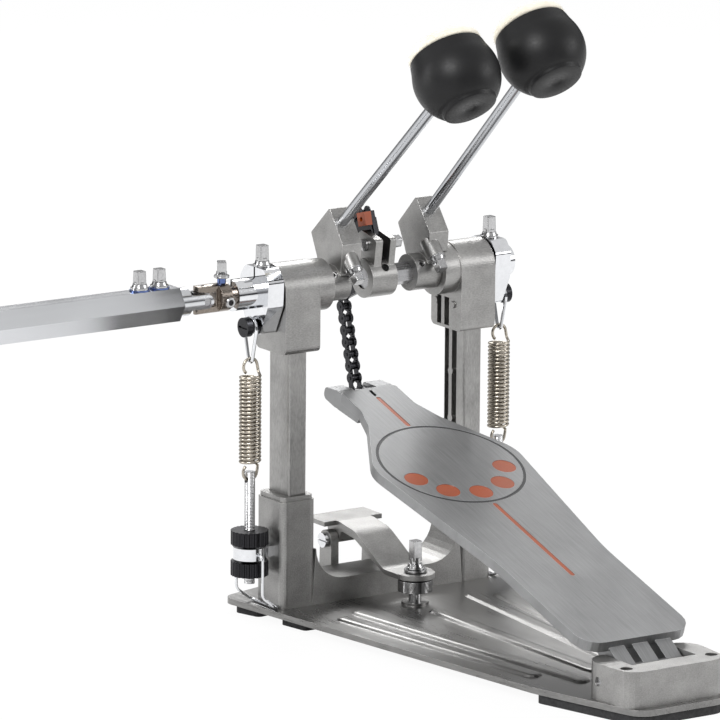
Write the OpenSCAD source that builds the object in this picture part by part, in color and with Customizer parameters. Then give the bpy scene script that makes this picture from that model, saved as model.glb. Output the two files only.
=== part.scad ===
// Double bass drum pedal: the main pedal with two beaters and the shaft that
// carries the second player's foot to its left beater. Millimetres, Z up,
// X to the player's right, Y towards the drum, origin on the floor under the axle.

/* [Stand] */
// Height of the beater axle above the floor
axle_z = 222; // [216:1:230]
// Distance of each upright from the middle
post_x = 69.5; // [68:0.5:72]
// Width of an upright along the axle
post_w = 14; // [12:0.5:15]
// Depth of an upright from player to drum
post_d = 24; // [22:0.5:26]
// Width of a lower socket along the axle
socket_w = 27; // [25:0.5:28]
// Depth of a lower socket
socket_d = 32; // [30:0.5:34]
// Height of the top of the lower sockets
socket_z = 85; // [75:1:95]
// Radius of the upper bearing housings
housing_r = 17.75; // [17:0.25:19]
// Width of a bearing housing along the axle
housing_w = 27; // [25:0.5:28]
// Depth that a housing's foot reaches below the axle
housing_drop = 41; // [38:1:46]
// Length of the round boss on a housing's inner side
boss_len = 12; // [10:0.5:12.5]

/* [Bearings and axle] */
// Outer radius of a ball race
race_r = 11; // [10.5:0.25:12]
// Width of a ball race
race_w = 7; // [6:0.5:8]
// Radius of the axle in its races
journal_r = 6; // [5.5:0.25:6.5]
// Distance across the flats of the axle's six-sided stretch
hex_af = 13; // [12.5:0.25:13.5]

/* [Base plate] */
// Height of the rubber feet
foot_h = 6; // [4:0.5:8]
// Thickness of the pressed base plate
plate_t = 4; // [3:0.5:6]
// Half width of the plate at its front tips
plate_front_w = 97; // [94:1:104]
// Half width of the plate where its heel narrows
plate_heel_w = 57; // [52:1:62]
// Distance from the axle to the plate's heel end
plate_heel_y = 350; // [346:1:360]
// Height of the pressed ribs over the plate
rib_rise = 1.6; // [1:0.2:2.4]

/* [Footboard] */
// Tilt of the footboard at rest in degrees
board_tilt = 18; // [17:0.25:19]
// Distance of the disc's centre behind the axle
disc_y = 88.7; // [87:0.5:90]
// Distance of the disc's centre below the axle
disc_drop = 109.3; // [108:0.5:111]
// Half width of the footboard at its disc
board_w = 56.5; // [54:0.5:60]
// Half width of the footboard at its heel
board_heel_w = 42.5; // [40:0.5:45]
// Half width of the footboard at its toe
board_toe_w = 21.5; // [20:0.5:23]
// Length of the footboard behind the disc's centre
board_back = 224; // [218:1:228]
// Depth of the footboard's rim
board_rim = 7; // [6:0.5:9]
// Thickness of the footboard's top skin
board_skin = 3.2; // [2.5:0.1:4]
// Angle that the footboard sinks at a full stroke
board_stroke = 6.4; // [5.8:0.1:6.6]
// Radius of the black ring's middle line
ring_r = 49; // [46:0.5:51]
// Radius of an orange dot
dot_r = 8; // [6:0.25:9]
// Radius of the circle that the dots lie on
dot_circle_r = 36.5; // [34:0.5:38]
// Radius of the heel hinge's pin
heel_pin_r = 3; // [2.5:0.25:3.5]
// Height of the heel hinge above the plate's top
heel_pin_rise = 12; // [11:0.5:13]
// Distance of the heel hinge behind the axle
heel_pin_y = 312; // [310:1:314]

/* [Chain and cam] */
// Nominal pitch of the roller chain
chain_pitch = 8; // [7.5:0.1:8.5]
// Radius of the chain's pitch line on the cam
cam_r = 44; // [42:0.5:45]
// Radius of a chain roller
roller_r = 2.3; // [2:0.1:2.5]
// Radius of a chain pin
chain_pin_r = 1.15; // [1:0.05:1.3]
// Thickness of a chain plate
link_t = 0.9; // [0.7:0.05:1]
// Length of a chain roller
roller_len = 3.6; // [3.2:0.1:4]
// Half height of a chain plate
link_h = 3.6; // [3.2:0.1:3.8]

/* [Beaters] */
// Radius of a beater rod
rod_r = 3.8; // [3.5:0.1:4.2]
// Distance of the rod's line from the axle
rod_offset = 28.4; // [27.5:0.1:29]
// Lean of the left beater behind the vertical
lean_left = 48.1; // [46:0.1:49]
// Lean of the right beater behind the vertical
lean_right = 45.3; // [44:0.1:47]
// Height of the left head along its rod
reach_left = 202.6; // [195:0.1:210]
// Height of the right head along its rod
reach_right = 206.3; // [200:0.1:212]
// Radius of a beater head
head_r = 28.7; // [27:0.1:30]
// Place of the left rod along the axle
rod_x_left = 28.5; // [28:0.25:29.5]
// Place of the right rod along the axle
rod_x_right = 41.5; // [41:0.25:43]
// Width of a beater block along the axle
block_w = 15; // [14:0.5:16]

/* [Springs] */
// Distance of each spring from the middle
spring_x = 99; // [98.5:0.25:101]
// Length of a rocker's arm from the axle to its spring roller
rocker_arm = 22.5; // [21.5:0.5:23]
// Outer radius of a spring
spring_r = 7.5; // [7:0.1:8]
// Thickness of the spring wire
spring_wire = 1.7; // [1.4:0.05:1.8]
// Number of curls in a spring
spring_curls = 23; // [20:1:24]
// Distance from the axle down to the top of the curls
spring_top_drop = 55; // [54:0.5:56]
// Distance from the axle down to the end of the curls
spring_end_drop = 114; // [112:0.5:116]
// Height of the swivel ear's middle above the floor
ear_z = 48; // [46:0.5:50]
// Radius of a knurled nut
nut_r = 12.5; // [12:0.25:13]

/* [Hoop clamp] */
// Distance of the clamp's hinge in front of the axle
clamp_y = 28.6; // [28:0.2:30]
// Height of the clamp's hinge above the floor
clamp_z = 40; // [39:0.5:41]
// Distance of the clamp's screw behind the axle
screw_y = 48.3; // [47:0.1:50]
// Radius of the clamp's screw
screw_r = 4.25; // [4:0.05:4.5]

/* [Drive shaft] */
// Distance of the near universal joint from the middle
joint_x = 138; // [136:1:142]
// Radius of a universal joint
joint_r = 9.5; // [9.25:0.05:10]
// Length of the outer tube
tube_len = 190; // [150:5:230]
// Distance across the flats of the outer tube
tube_af = 22; // [21:0.5:24]
// Length of the inner shaft that shows
shaft_out = 90; // [60:5:130]
// Distance across the flats of the inner shaft
shaft_af = 13; // [12:0.5:14]
// Radius of the bore for the other pedal's axle
far_bore_r = 6.35; // [6:0.05:6.5]

/* [Hidden] */
$fn = 48;
slip = 0.05;
seat = 0.3;
big = 400;
plate_z = foot_h + plate_t;
corner_steps = 5;
hex_r = hex_af / 2 / cos(30);
boss_x = post_x - housing_w / 2 - boss_len;
housing_out = post_x + housing_w / 2;
collar_out = boss_x - seat;

// Places on the footboard, along it (s) and square to it (n) from the disc's centre
disc = [0, -disc_y, axle_z - disc_drop];
heel_pin_z = plate_z + heel_pin_rise;
function on_board(y, z) = [(y + disc_y) * cos(board_tilt) + (z - disc.z) * sin(board_tilt),
    (z - disc.z) * cos(board_tilt) - (y + disc_y) * sin(board_tilt)];
toe_pin_s = 115.4;
toe_pin_n = -7.8;
toe_y = -disc_y + toe_pin_s * cos(board_tilt) - toe_pin_n * sin(board_tilt);
toe_z = disc.z + toe_pin_s * sin(board_tilt) + toe_pin_n * cos(board_tilt);
heel_at = on_board(-heel_pin_y, heel_pin_z);

// The chain leaves the cam at the tangent from the toe pin
toe_dist = norm([toe_y, toe_z - axle_z]);
toe_angle = atan2(toe_z - axle_z, toe_y);
leave_angle = toe_angle + acos(cam_r / toe_dist);
strand_len = sqrt(toe_dist * toe_dist - cam_r * cam_r);
strand_links = round(strand_len / chain_pitch);
strand_pitch = strand_len / strand_links;
link_angle = 2 * asin(chain_pitch / (2 * cam_r));
free_links = 5;
anchor_links = 3;

// Axle angle of a full stroke, from the length of chain that it lets go
toe_arm = [toe_y + heel_pin_y, toe_z - heel_pin_z];
toe_down = [toe_arm.x * cos(board_stroke) + toe_arm.y * sin(board_stroke) - heel_pin_y,
    toe_arm.y * cos(board_stroke) - toe_arm.x * sin(board_stroke) + heel_pin_z - axle_z];
strand_down = sqrt(toe_down * toe_down - cam_r * cam_r);
leave_down = atan2(toe_down.y, toe_down.x) + acos(cam_r / norm(toe_down));
axle_stroke = (strand_down - strand_len) / cam_r * 180 / PI - (leave_down - leave_angle);
echo(axle_stroke = axle_stroke, leave_angle = leave_angle, link_angle = link_angle,
    toe = [toe_y, toe_z], strand_links = strand_links, heel_at = heel_at);

function unit(v) = v / norm(v);

// Points of one corner [x, y] rounded to radius r
function corner(a, b, c, r) =
    let (u = unit([a.x - b.x, a.y - b.y]), v = unit([c.x - b.x, c.y - b.y]),
        half = acos(u * v) / 2,
        mid = [b.x, b.y] + unit(u + v) * r / sin(half),
        from = [b.x, b.y] + u * r / tan(half) - mid,
        to = [b.x, b.y] + v * r / tan(half) - mid,
        start = atan2(from.y, from.x),
        sweep = (atan2(to.y, to.x) - start + 540) % 360 - 180)
    [for (i = [0:corner_steps]) mid + r * [cos(start + sweep * i / corner_steps),
        sin(start + sweep * i / corner_steps)]];

// Outline through corners [x, y, radius]
function rounded(p) = let (n = len(p)) [for (i = [0:n - 1])
    each (p[i].z > 0 ? corner(p[(i + n - 1) % n], p[i], p[(i + 1) % n], p[i].z)
        : [[p[i].x, p[i].y]])];

// Outline whose left half mirrors the right one, anticlockwise
function both_sides(right) = concat(right,
    [for (i = [len(right) - 1:-1:0]) [-right[i].x, right[i].y, right[i].z]]);

// Solid through layers of like outlines, from the lowest to the highest
module loft(layers) {
    n = len(layers[0]);
    m = len(layers);
    sides = [for (k = [0:m - 2], i = [0:n - 1]) let (j = (i + 1) % n)
        each [[k * n + i, (k + 1) * n + i, (k + 1) * n + j],
            [k * n + i, (k + 1) * n + j, k * n + j]]];
    polyhedron([for (l = layers) each l],
        concat([[for (i = [0:n - 1]) i]], [[for (i = [n - 1:-1:0]) (m - 1) * n + i]], sides));
}

function lift(p, z) = [for (q = p) [q.x, q.y, z]];

// A profile drawn in (Y, Z) and drawn out along X from x0 to x1
module along_x(x0, x1) {
    translate([x0, 0, 0]) rotate([90, 0, 90]) linear_extrude(x1 - x0) children();
}

module rod_x(x0, x1, r, y = 0, z = 0) {
    translate([x0, y, z]) rotate([0, 90, 0]) cylinder(h = x1 - x0, r = r);
}

module hex_x(x0, x1, r) {
    translate([x0, 0, 0]) rotate([0, 90, 0]) cylinder(h = x1 - x0, r = r, $fn = 6);
}

module box(lo, hi) {
    translate(lo) cube(hi - lo);
}

module ring_x(x0, x1, r_out, r_in) {
    difference() {
        rod_x(x0, x1, r_out);
        rod_x(x0 - 1, x1 + 1, r_in);
    }
}

// Round bar between two points
module bar(a, b, r) {
    d = b - a;
    translate(a) rotate([0, acos(d.z / norm(d)), atan2(d.y, d.x)]) cylinder(h = norm(d), r = r);
}

// Path through points, each corner rounded over the given run
function bent(p, run) = concat([p[0]], [for (i = [1:len(p) - 2])
    let (a = p[i] + run * unit(p[i - 1] - p[i]), c = p[i] + run * unit(p[i + 1] - p[i]))
    for (t = [0:0.25:1]) (1 - t) * (1 - t) * a + 2 * t * (1 - t) * p[i] + t * t * c],
    [p[len(p) - 1]]);

// Square-headed key bolt standing on its flange at the origin
key_head = 6.4;
key_flange_r = 6;
module key_bolt(shank_r, shank_len, tall = 13) {
    translate([0, 0, -shank_len]) cylinder(h = shank_len, r = shank_r);
    cylinder(h = 1.4, r = key_flange_r);
    translate([0, 0, 1.4]) cylinder(h = 2.2, r1 = key_flange_r - 0.6, r2 = 4.6);
    cylinder(h = tall * 0.4, r = 3.6);
    translate([0, 0, tall * 0.4]) intersection() {
        translate([-key_head / 2, -key_head / 2, -2]) cube([key_head, key_head, tall * 0.6 + 2]);
        translate([0, 0, -2]) cylinder(h = tall * 0.6 + 2, r1 = 4.5, r2 = 4.1);
    }
}

// Base
module base_plate() {
    color("lightslategray") difference() {
        union() {
            translate([0, 0, foot_h]) linear_extrude(plate_t) polygon(rounded(both_sides([
                [34, -plate_heel_y, 14], [plate_heel_w, -266, 60], [plate_front_w, 35, 9],
                [58, 46, 14], [34, 60, 8]])));
            for (side = [-1, 1]) {
                pressed_rib([side * 45, -52], [side * 22, -268]);
                pressed_rib([side * 62, -60], [side * 40, -240]);
            }
            pressed_rib([0, -75], [0, -250]);
            translate([0, -screw_y, plate_z]) cylinder(h = 2, r = 9);
        }
        translate([0, -screw_y, foot_h - 1]) cylinder(h = plate_t + 6, r = screw_r + slip);
        for (side = [-1, 1])
            translate([side * 30, 52, foot_h - 1]) cylinder(h = plate_t + 2, r = 2.2);
    }
}

// Long swelling pressed up from below, with sloping flanks
module pressed_rib(a, b) {
    layers = [[6.5, -1], [6.5, 0], [4.6, rib_rise * 0.8], [3, rib_rise]];
    loft([for (l = layers) lift(capsule(a, b, l[0]), plate_z + l[1])]);
}

// Outline of a bar with round ends from a to b
function capsule(a, b, r) = let (turn = atan2(b.y - a.y, b.x - a.x))
    concat([for (i = [0:6]) a + r * [cos(turn + 90 + i * 30), sin(turn + 90 + i * 30)]],
        [for (i = [0:6]) b + r * [cos(turn - 90 + i * 30), sin(turn - 90 + i * 30)]]);

module rubber_feet() {
    color("#222222") {
        for (side = [-1, 1]) {
            linear_extrude(foot_h) polygon(rounded([[side * 92, 29, 4], [side * 62, 38, 4],
                [side * 57, 14, 4], [side * 86, 8, 4]]));
            linear_extrude(foot_h) polygon(rounded([[side * 84, -14, 3], [side * 60, -14, 3],
                [side * 58, -38, 3], [side * 80, -38, 3]]));
        }
        linear_extrude(foot_h) polygon(rounded([[-28, -16, 5], [28, -16, 5], [28, 24, 5],
            [-28, 24, 5]]));
        linear_extrude(foot_h) polygon(rounded(both_sides([[33, -plate_heel_y + 1, 13],
            [plate_heel_w - 1, -264, 5]])));
    }
}

socket_lip = 4;
bridge_top = 26;
trough_r = 22;
module lower_casting() {
    half = socket_w / 2;
    inner = post_x - half + 1;
    color("silver") difference() {
        union() {
            for (side = [-1, 1]) translate([side * (post_x + 1), 0, plate_z]) {
                linear_extrude(socket_z - plate_z - 3) polygon(rounded([
                    [half, socket_d / 2, 5], [-half, socket_d / 2, 5],
                    [-half, -socket_d / 2, 5], [half, -socket_d / 2, 5]]));
                translate([0, 0, socket_z - plate_z - 3]) linear_extrude(3) polygon(rounded([
                    [half - 1.2, socket_d / 2 - 1.2, 4], [1.2 - half, socket_d / 2 - 1.2, 4],
                    [1.2 - half, 1.2 - socket_d / 2, 4], [half - 1.2, 1.2 - socket_d / 2, 4]]));
            }
            translate([0, socket_d / 2, 0]) rotate([90, 0, 0]) linear_extrude(socket_d)
                polygon(concat([[-inner - 3, plate_z], [inner + 3, plate_z]],
                    trough(inner, 1), trough(-inner, -1)));
        }
        for (side = [-1, 1]) post_space(side, plate_z + 12, socket_z + 1, seat / 3);
        for (side = [-1, 1], y = [-9, 9])
            translate([side * (post_x - 26), y, plate_z - 1]) cylinder(h = 8, r = 2.5);
    }
}

// Curved flank of the bridge between the sockets
function trough(x, way) = [for (i = [0:8]) let (a = (way > 0 ? i : 8 - i) * 90 / 8)
    [x - way * trough_r * (1 - cos(a)), bridge_top + trough_r * (1 - sin(a))]];

module post_space(side, z0, z1, gap) {
    box([side * post_x - post_w / 2 - gap, -post_d / 2 - gap, z0],
        [side * post_x + post_w / 2 + gap, post_d / 2 + gap, z1]);
}

post_top = axle_z - 13.5;
slot_depth = 6;
rib_boss_zs = [socket_z + 33, socket_z + 65];
module uprights() {
    color("gainsboro") for (side = [-1, 1]) difference() {
        translate([side * post_x, 0, plate_z + 12]) linear_extrude(post_top - plate_z - 12)
            polygon(rounded([[post_w / 2, post_d / 2, 1.6], [-post_w / 2, post_d / 2, 1.6],
                [-post_w / 2, -post_d / 2, 1.6], [post_w / 2, -post_d / 2, 1.6]]));
        face_slots(side, post_x - post_w / 2, socket_z + 3, axle_z - housing_drop - 1);
    }
    color("gainsboro") for (side = [-1, 1], z = rib_boss_zs) rib_boss(side, z);
}

// Pair of deep slots in the inner face of an upright or a housing
slot_ys = [[-3.3, 2.4], [5.8, 10.8]];
module face_slots(side, x, z0, z1) {
    for (s = slot_ys) box([min(side * x, side * (x + slot_depth)) - 0.01, s[0], z0],
        [max(side * x, side * (x + slot_depth)) + 0.01, s[1], z1]);
}

// Round boss on the thin rib between the slots
module rib_boss(side, z) {
    x = side * (post_x - post_w / 2);
    translate([min(x, x + side * slot_depth), (slot_ys[0][1] + slot_ys[1][0]) / 2, z])
        rotate([0, 90, 0]) cylinder(h = slot_depth, r = 2.6);
}

module bearing_housings() {
    half = housing_w / 2;
    color("silver") for (side = [-1, 1]) difference() {
        union() {
            translate([side * post_x, 0, axle_z]) along_x(-half, half) union() {
                circle(housing_r);
                polygon(rounded([[housing_r, 0, 0], [-housing_r, 0, 0],
                    [-housing_r, -housing_drop, 4], [housing_r, -housing_drop, 4]]));
            }
            translate([0, 0, axle_z]) rod_x(min(side * boss_x, side * post_x),
                max(side * boss_x, side * post_x), housing_r - 0.6);
            for (y = [-8, 12]) translate([side * (post_x - half), y, axle_z - 24])
                rotate([0, side * -90, 0]) cylinder(h = 1, r = 2.4);
        }
        post_space(side, axle_z - housing_drop - 1, post_top + 0.5, seat / 3);
        translate([0, 0, axle_z]) rod_x(min(side * (boss_x - 1), side * (housing_out + 1)),
            max(side * (boss_x - 1), side * (housing_out + 1)), race_r + slip);
        face_slots(side, post_x - half, axle_z - housing_drop + 2, axle_z - 20);
    }
}

race_xs = [boss_x + 1, housing_out - race_w - 1];
module ball_races() {
    color("#8a8d90") translate([0, 0, axle_z]) for (side = [-1, 1], x = race_xs) {
        x0 = side > 0 ? x : -x - race_w;
        ring_x(x0, x0 + race_w, race_r, race_r - 2);
        ring_x(x0, x0 + race_w, journal_r + 1.8, journal_r + slip);
        ring_x(x0 + 0.8, x0 + race_w - 0.8, race_r - 2, journal_r + 1.8);
    }
}

// Heel hinge
heel_w = 42;
lug_w = 24;
heel_front = heel_pin_y - 16;
module heel_block() {
    color("silver") difference() {
        translate([0, 0, plate_z]) linear_extrude(24) polygon(rounded([
            [heel_w - 4, -heel_pin_y - 32, 12], [heel_w, -heel_front, 14],
            [-heel_w, -heel_front, 14], [4 - heel_w, -heel_pin_y - 32, 12]]));
        box([-lug_w - 1, -heel_pin_y - 15, plate_z + 2.5], [lug_w + 1, -heel_front + 1, plate_z + 25]);
        translate([0, -heel_pin_y, heel_pin_z]) rod_x(-big, big, heel_pin_r + slip);
        for (side = [-1, 1]) translate([side * 33, -heel_pin_y - 20, plate_z + 16])
            cylinder(h = 9, r = 4);
    }
}

module heel_pin() {
    color("#9a9da0") translate([0, -heel_pin_y, heel_pin_z])
        rod_x(-heel_w + 3, heel_w - 3, heel_pin_r);
}

// Hoop clamp
jaw_len = 19.4;
jaw_w = 23;
ear_in = 14;
ear_out = 20;
lever_t = 3.4;
tongue_z = 31.6;
module clamp_bracket() {
    color("silver") difference() {
        for (side = [-1, 1]) translate([side * (ear_in + ear_out) / 2, clamp_y, 0])
            along_x(-(ear_out - ear_in) / 2, (ear_out - ear_in) / 2)
                polygon(rounded([[-7, plate_z, 0], [8, plate_z, 0], [6.5, clamp_z + 6.5, 6],
                    [-6.5, clamp_z + 6.5, 6]]));
        translate([0, clamp_y, clamp_z]) rod_x(-big, big, 3 + slip);
    }
}

module clamp_pin() {
    color("#b5b8bb") translate([0, clamp_y, clamp_z]) {
        rod_x(-ear_out - 1, ear_out + 1, 3);
        rod_x(ear_out + 0.3, ear_out + 3.2, 5);
        difference() {
            rod_x(-ear_out - 3.2, -ear_out - 0.3, 5);
            box([-ear_out - 4, -6, -0.6], [-ear_out - 2.2, 6, 0.6]);
        }
    }
}

// Upper edge of the lever's side view, from the jaw to the tongue
jaw_top = clamp_z + 13;
lever_top = [[clamp_y + jaw_len, jaw_top, 0], [clamp_y - 6, jaw_top, 5], [3, 50, 30],
    [-18, 38.5, 25], [-30, tongue_z, 12], [-screw_y, tongue_z, 0]];
lever_under = [[-screw_y, tongue_z - lever_t, 0], [-32, tongue_z - lever_t, 6],
    [-18, 34.5, 20], [4, 45, 20], [clamp_y - 9, 47, 3], [clamp_y - 5, clamp_z - 2, 3],
    [clamp_y + 5, clamp_z - 2, 4], [clamp_y + 8, jaw_top - 4, 3],
    [clamp_y + jaw_len, jaw_top - 4, 0]];
module clamp_lever() {
    color("#c9cccf") difference() {
        union() {
            along_x(-ear_in + 0.4, ear_in - 0.4) polygon(rounded(concat(lever_top, lever_under)));
            box([-jaw_w, clamp_y - 3, jaw_top - 3.2], [jaw_w, clamp_y + jaw_len, jaw_top]);
            translate([0, -screw_y, tongue_z - lever_t]) cylinder(h = lever_t, r = ear_in - 1);
        }
        translate([0, clamp_y, clamp_z]) rod_x(-big, big, 3 + slip);
        translate([0, -screw_y, tongue_z - 10]) cylinder(h = 20, r = screw_r + 1.4);
    }
}

washer_t = 1.6;
module clamp_washer() {
    color("#d9dcdf") translate([0, -screw_y, tongue_z + 2 * seat]) difference() {
        cylinder(h = washer_t, r = 7.5);
        translate([0, 0, -1]) cylinder(h = washer_t + 2, r = screw_r + slip);
    }
}

module clamp_screw() {
    color("#d9dcdf") translate([0, -screw_y, 0]) {
        translate([0, 0, plate_z - 2]) cylinder(h = tongue_z - plate_z + 5, r = screw_r);
        translate([0, 0, tongue_z - lever_t - 9]) cylinder(h = 7.7, r = 11.5);
        translate([0, 0, tongue_z + 2 * seat + washer_t + 0.1]) key_bolt(screw_r, 1, 19);
    }
}

// Spring anchors on the lower casting
ear_t = 8;
ear_r = nut_r - 1.5;
ball_r = 7;
module spring_ears() {
    color("#c9cccf") for (side = [-1, 1]) difference() {
        union() {
            translate([side * spring_x, 0, ear_z - ear_t / 2]) cylinder(h = ear_t, r = ear_r);
            box([min(side * (post_x + 1 + socket_w / 2), side * spring_x), -6, ear_z - 3.5],
                [max(side * (post_x + 1 + socket_w / 2), side * spring_x), 6, ear_z + 3.5]);
        }
        translate([side * spring_x, 0, ear_z]) sphere(ball_r + seat);
    }
}

// Wire guard round the nuts, bent from one length, standing on the plate
guard_r = 1;
guard_in = 12.5;
module nut_guards() {
    y = nut_r + 3.4;
    low = plate_z + guard_r + slip;
    color("#b5b8bb") for (side = [-1, 1]) translate([side * spring_x, 0, 0])
        tube(tube_rings(bent([[0, -ear_r - slip, ear_z], [0, -y, ear_z], [0, -y, low + 9],
            [-side * guard_in, -y, low], [-side * guard_in, y, low], [0, y, low + 9],
            [0, y, ear_z], [0, ear_r + slip, ear_z]], 3), guard_r, 8, [0.8, 0.1, 0.6]));
}

module knurled_nut(z0, z1) {
    ridges = 24;
    difference() {
        translate([0, 0, z0]) cylinder(h = z1 - z0, r = nut_r);
        for (i = [0:ridges - 1]) rotate([0, 0, i * 360 / ridges])
            translate([nut_r + 0.35, 0, z0 - 1]) cylinder(h = z1 - z0 + 2, r = 1.1, $fn = 24);
        translate([0, 0, z0 - 10]) cylinder(h = z1 - z0 + 20, r = eye_rod_r + slip);
    }
}

eye_rod_r = 3.5;
nut_gap = 1.6;
nut_h = 9.5;
module nuts(side) {
    color("#1d1d1f") translate([side * spring_x, 0, ear_z]) for (up = [0, 1])
        mirror([0, 0, 1 - up]) {
            knurled_nut(ear_t / 2 + nut_gap, ear_t / 2 + nut_gap + nut_h);
            difference() {
                intersection() {
                    sphere(ball_r);
                    box([-big, -big, 2.6], [big, big, ear_t / 2 + nut_gap]);
                }
                cylinder(h = 20, r = eye_rod_r + slip);
            }
        }
}

rod_top_drop = 119.5;
eye_r = 2.4;
module eye_rod(side) {
    top = axle_z - rod_top_drop;
    color("#c9cccf") translate([side * spring_x, 0, 0]) difference() {
        translate([0, 0, ear_z - 21]) cylinder(h = top - ear_z + 21, r = eye_rod_r);
        translate([0, 0, eye_z]) rod_x(-10, 10, eye_r);
    }
}

// Spring: hook, curls and hook as one tube
coil_r = spring_r - spring_wire / 2;
hook_r = 5.3;
rings_per_curl = 8;
coil_low = axle_z - spring_end_drop;
coil_high = axle_z - spring_top_drop;
hook_low = coil_low - 6;
hook_high = coil_high + 6;
eye_z = hook_low - hook_r + 0.9;
coil_steps = spring_curls * rings_per_curl;
function coil_point(i) = let (a = i * 360 / rings_per_curl)
    [coil_r * cos(a), coil_r * sin(a), coil_low + (coil_high - coil_low) * i / coil_steps];
function hook_point(z, a) = [hook_r * cos(a), 0, z + hook_r * sin(a)];
spring_path = concat([for (a = [-230:23:-23]) hook_point(hook_low, a)],
    [[coil_r, 0.1, coil_low - 1.9]],
    [for (i = [1:coil_steps - 1]) coil_point(i)],
    [[coil_r, -0.1, coil_high + 1.9]],
    [for (a = [23:23:230]) hook_point(hook_high, a)]);
hook_count = 10;

// Rings of a tube of radius r round the path. Its sides start towards ref, or at
// the first and last count points towards end_ref
function tube_rings(path, r, sides, ref, end_ref = [0, 0, 0], count = 0) = let (n = len(path))
    [for (i = [0:n - 1])
        let (t = unit(path[min(i + 1, n - 1)] - path[max(i - 1, 0)]),
            way = i < count || i >= n - count ? end_ref : ref,
            u = unit(way - (way * t) * t), v = cross(t, u))
        [for (k = [0:sides - 1])
            path[i] + r * (cos(k * 360 / sides) * u + sin(k * 360 / sides) * v)]];

module tube(rings) {
    n = len(rings);
    s = len(rings[0]);
    polyhedron([for (q = rings) each q], concat([[for (k = [0:s - 1]) k]],
        [[for (k = [s - 1:-1:0]) (n - 1) * s + k]],
        [for (i = [0:n - 2], k = [0:s - 1]) let (l = (k + 1) % s)
            each [[i * s + k, (i + 1) * s + k, (i + 1) * s + l],
                [i * s + k, (i + 1) * s + l, i * s + l]]]));
}

// Least gap between points of the path that are over half a curl apart
path_gap = min([for (i = [0:len(spring_path) - 6], j = [i + 5:min(len(spring_path) - 1, i + 14)])
    norm(spring_path[i] - spring_path[j])]) - spring_wire;
echo(least_gap_of_spring = path_gap);

module spring(side) {
    color("#c8bfae") translate([side * spring_x, 0, 0])
        tube(tube_rings(spring_path, spring_wire / 2, 6, [0, 0, 1], [0, -1, 0], hook_count));
}

// Wire loop between a rocker's roller and its spring
link_wire_r = 1.2;
roller_groove_r = 4.2;
loop_r = 7.2;
loop_end_r = 2.4;
module spring_link(side) {
    top = axle_z - rocker_arm;
    high = top + roller_groove_r + seat + link_wire_r - loop_r;
    low = hook_high + hook_r - spring_wire / 2 - link_wire_r - seat + loop_end_r;
    lean = asin((loop_r - loop_end_r) / (high - low));
    path = concat(
        [for (i = [0:12]) arc_point(high, loop_r, -lean + i * (180 + 2 * lean) / 12)],
        [for (i = [0:8]) arc_point(low, loop_end_r, 180 + lean + i * (180 - 2 * lean) / 8)]);
    color("#d5d8db") translate([side * spring_x, 0, 0]) closed_tube(path, link_wire_r, 8, [1, 0, 0]);
}

function arc_point(z, r, a) = [0, r * cos(a), z + r * sin(a)];

// Wire along a flat closed path whose plane is square to ref
module closed_tube(path, r, sides, ref) {
    n = len(path);
    rings = [for (i = [0:n - 1])
        let (v = cross(unit(path[(i + 1) % n] - path[(i + n - 1) % n]), ref))
        for (k = [0:sides - 1])
            path[i] + r * (cos(k * 360 / sides) * ref + sin(k * 360 / sides) * v)];
    polyhedron(rings, [for (i = [0:n - 1], k = [0:sides - 1])
        let (j = (i + 1) % n, l = (k + 1) % sides)
            each [[i * sides + k, j * sides + k, j * sides + l],
                [i * sides + k, j * sides + l, i * sides + l]]]);
}

// Rockers and their rollers
rocker_in = housing_out + 1;
rocker_w = 12.2;
rocker_top = 17;
rocker_bolt_r = 2.5;
roller_pin_r = 2;
module rocker(side, boss) {
    x1 = rocker_in + rocker_w;
    mirror([side < 0 ? 1 : 0, 0, 0]) translate([0, 0, axle_z]) color("#dfe2e5") difference() {
        union() {
            along_x(rocker_in, x1) polygon(rounded([[11, rocker_top, 5], [-11, rocker_top, 5], [-17, 9, 5],
                [-16, -8, 6], [-6.5, -rocker_arm - 5, 5], [6.5, -rocker_arm - 5, 5],
                [16, -8, 6], [17, 9, 5]]));
            rod_x(x1 - 1, x1 + boss, 10.5);
        }
        rod_x(0, x1 + boss + 1, journal_r + slip);
        translate([(rocker_in + x1) / 2, 0, 0]) cylinder(h = 30, r = rocker_bolt_r + slip);
        rod_x(x1 - 6, x1 + 1, roller_pin_r + slip, 0, -rocker_arm);
        box([rocker_in - 1, -0.8, 5], [x1 + boss + 1, 0.8, rocker_top + 1]);
    }
}

module roller(side) {
    x1 = rocker_in + rocker_w;
    mirror([side < 0 ? 1 : 0, 0, 0]) translate([0, 0, axle_z - rocker_arm])
        color("#1d1d1f") difference() {
            union() {
                rod_x(x1 - 5, x1 + 1, roller_pin_r);
                rod_x(x1 + 0.1, spring_x + 1.7, roller_groove_r);
                rod_x(spring_x + 1.6, spring_x + 6, 6.5);
            }
            box([spring_x + 5, -5, -0.7], [spring_x + 7, 5, 0.7]);
        }
}

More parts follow.
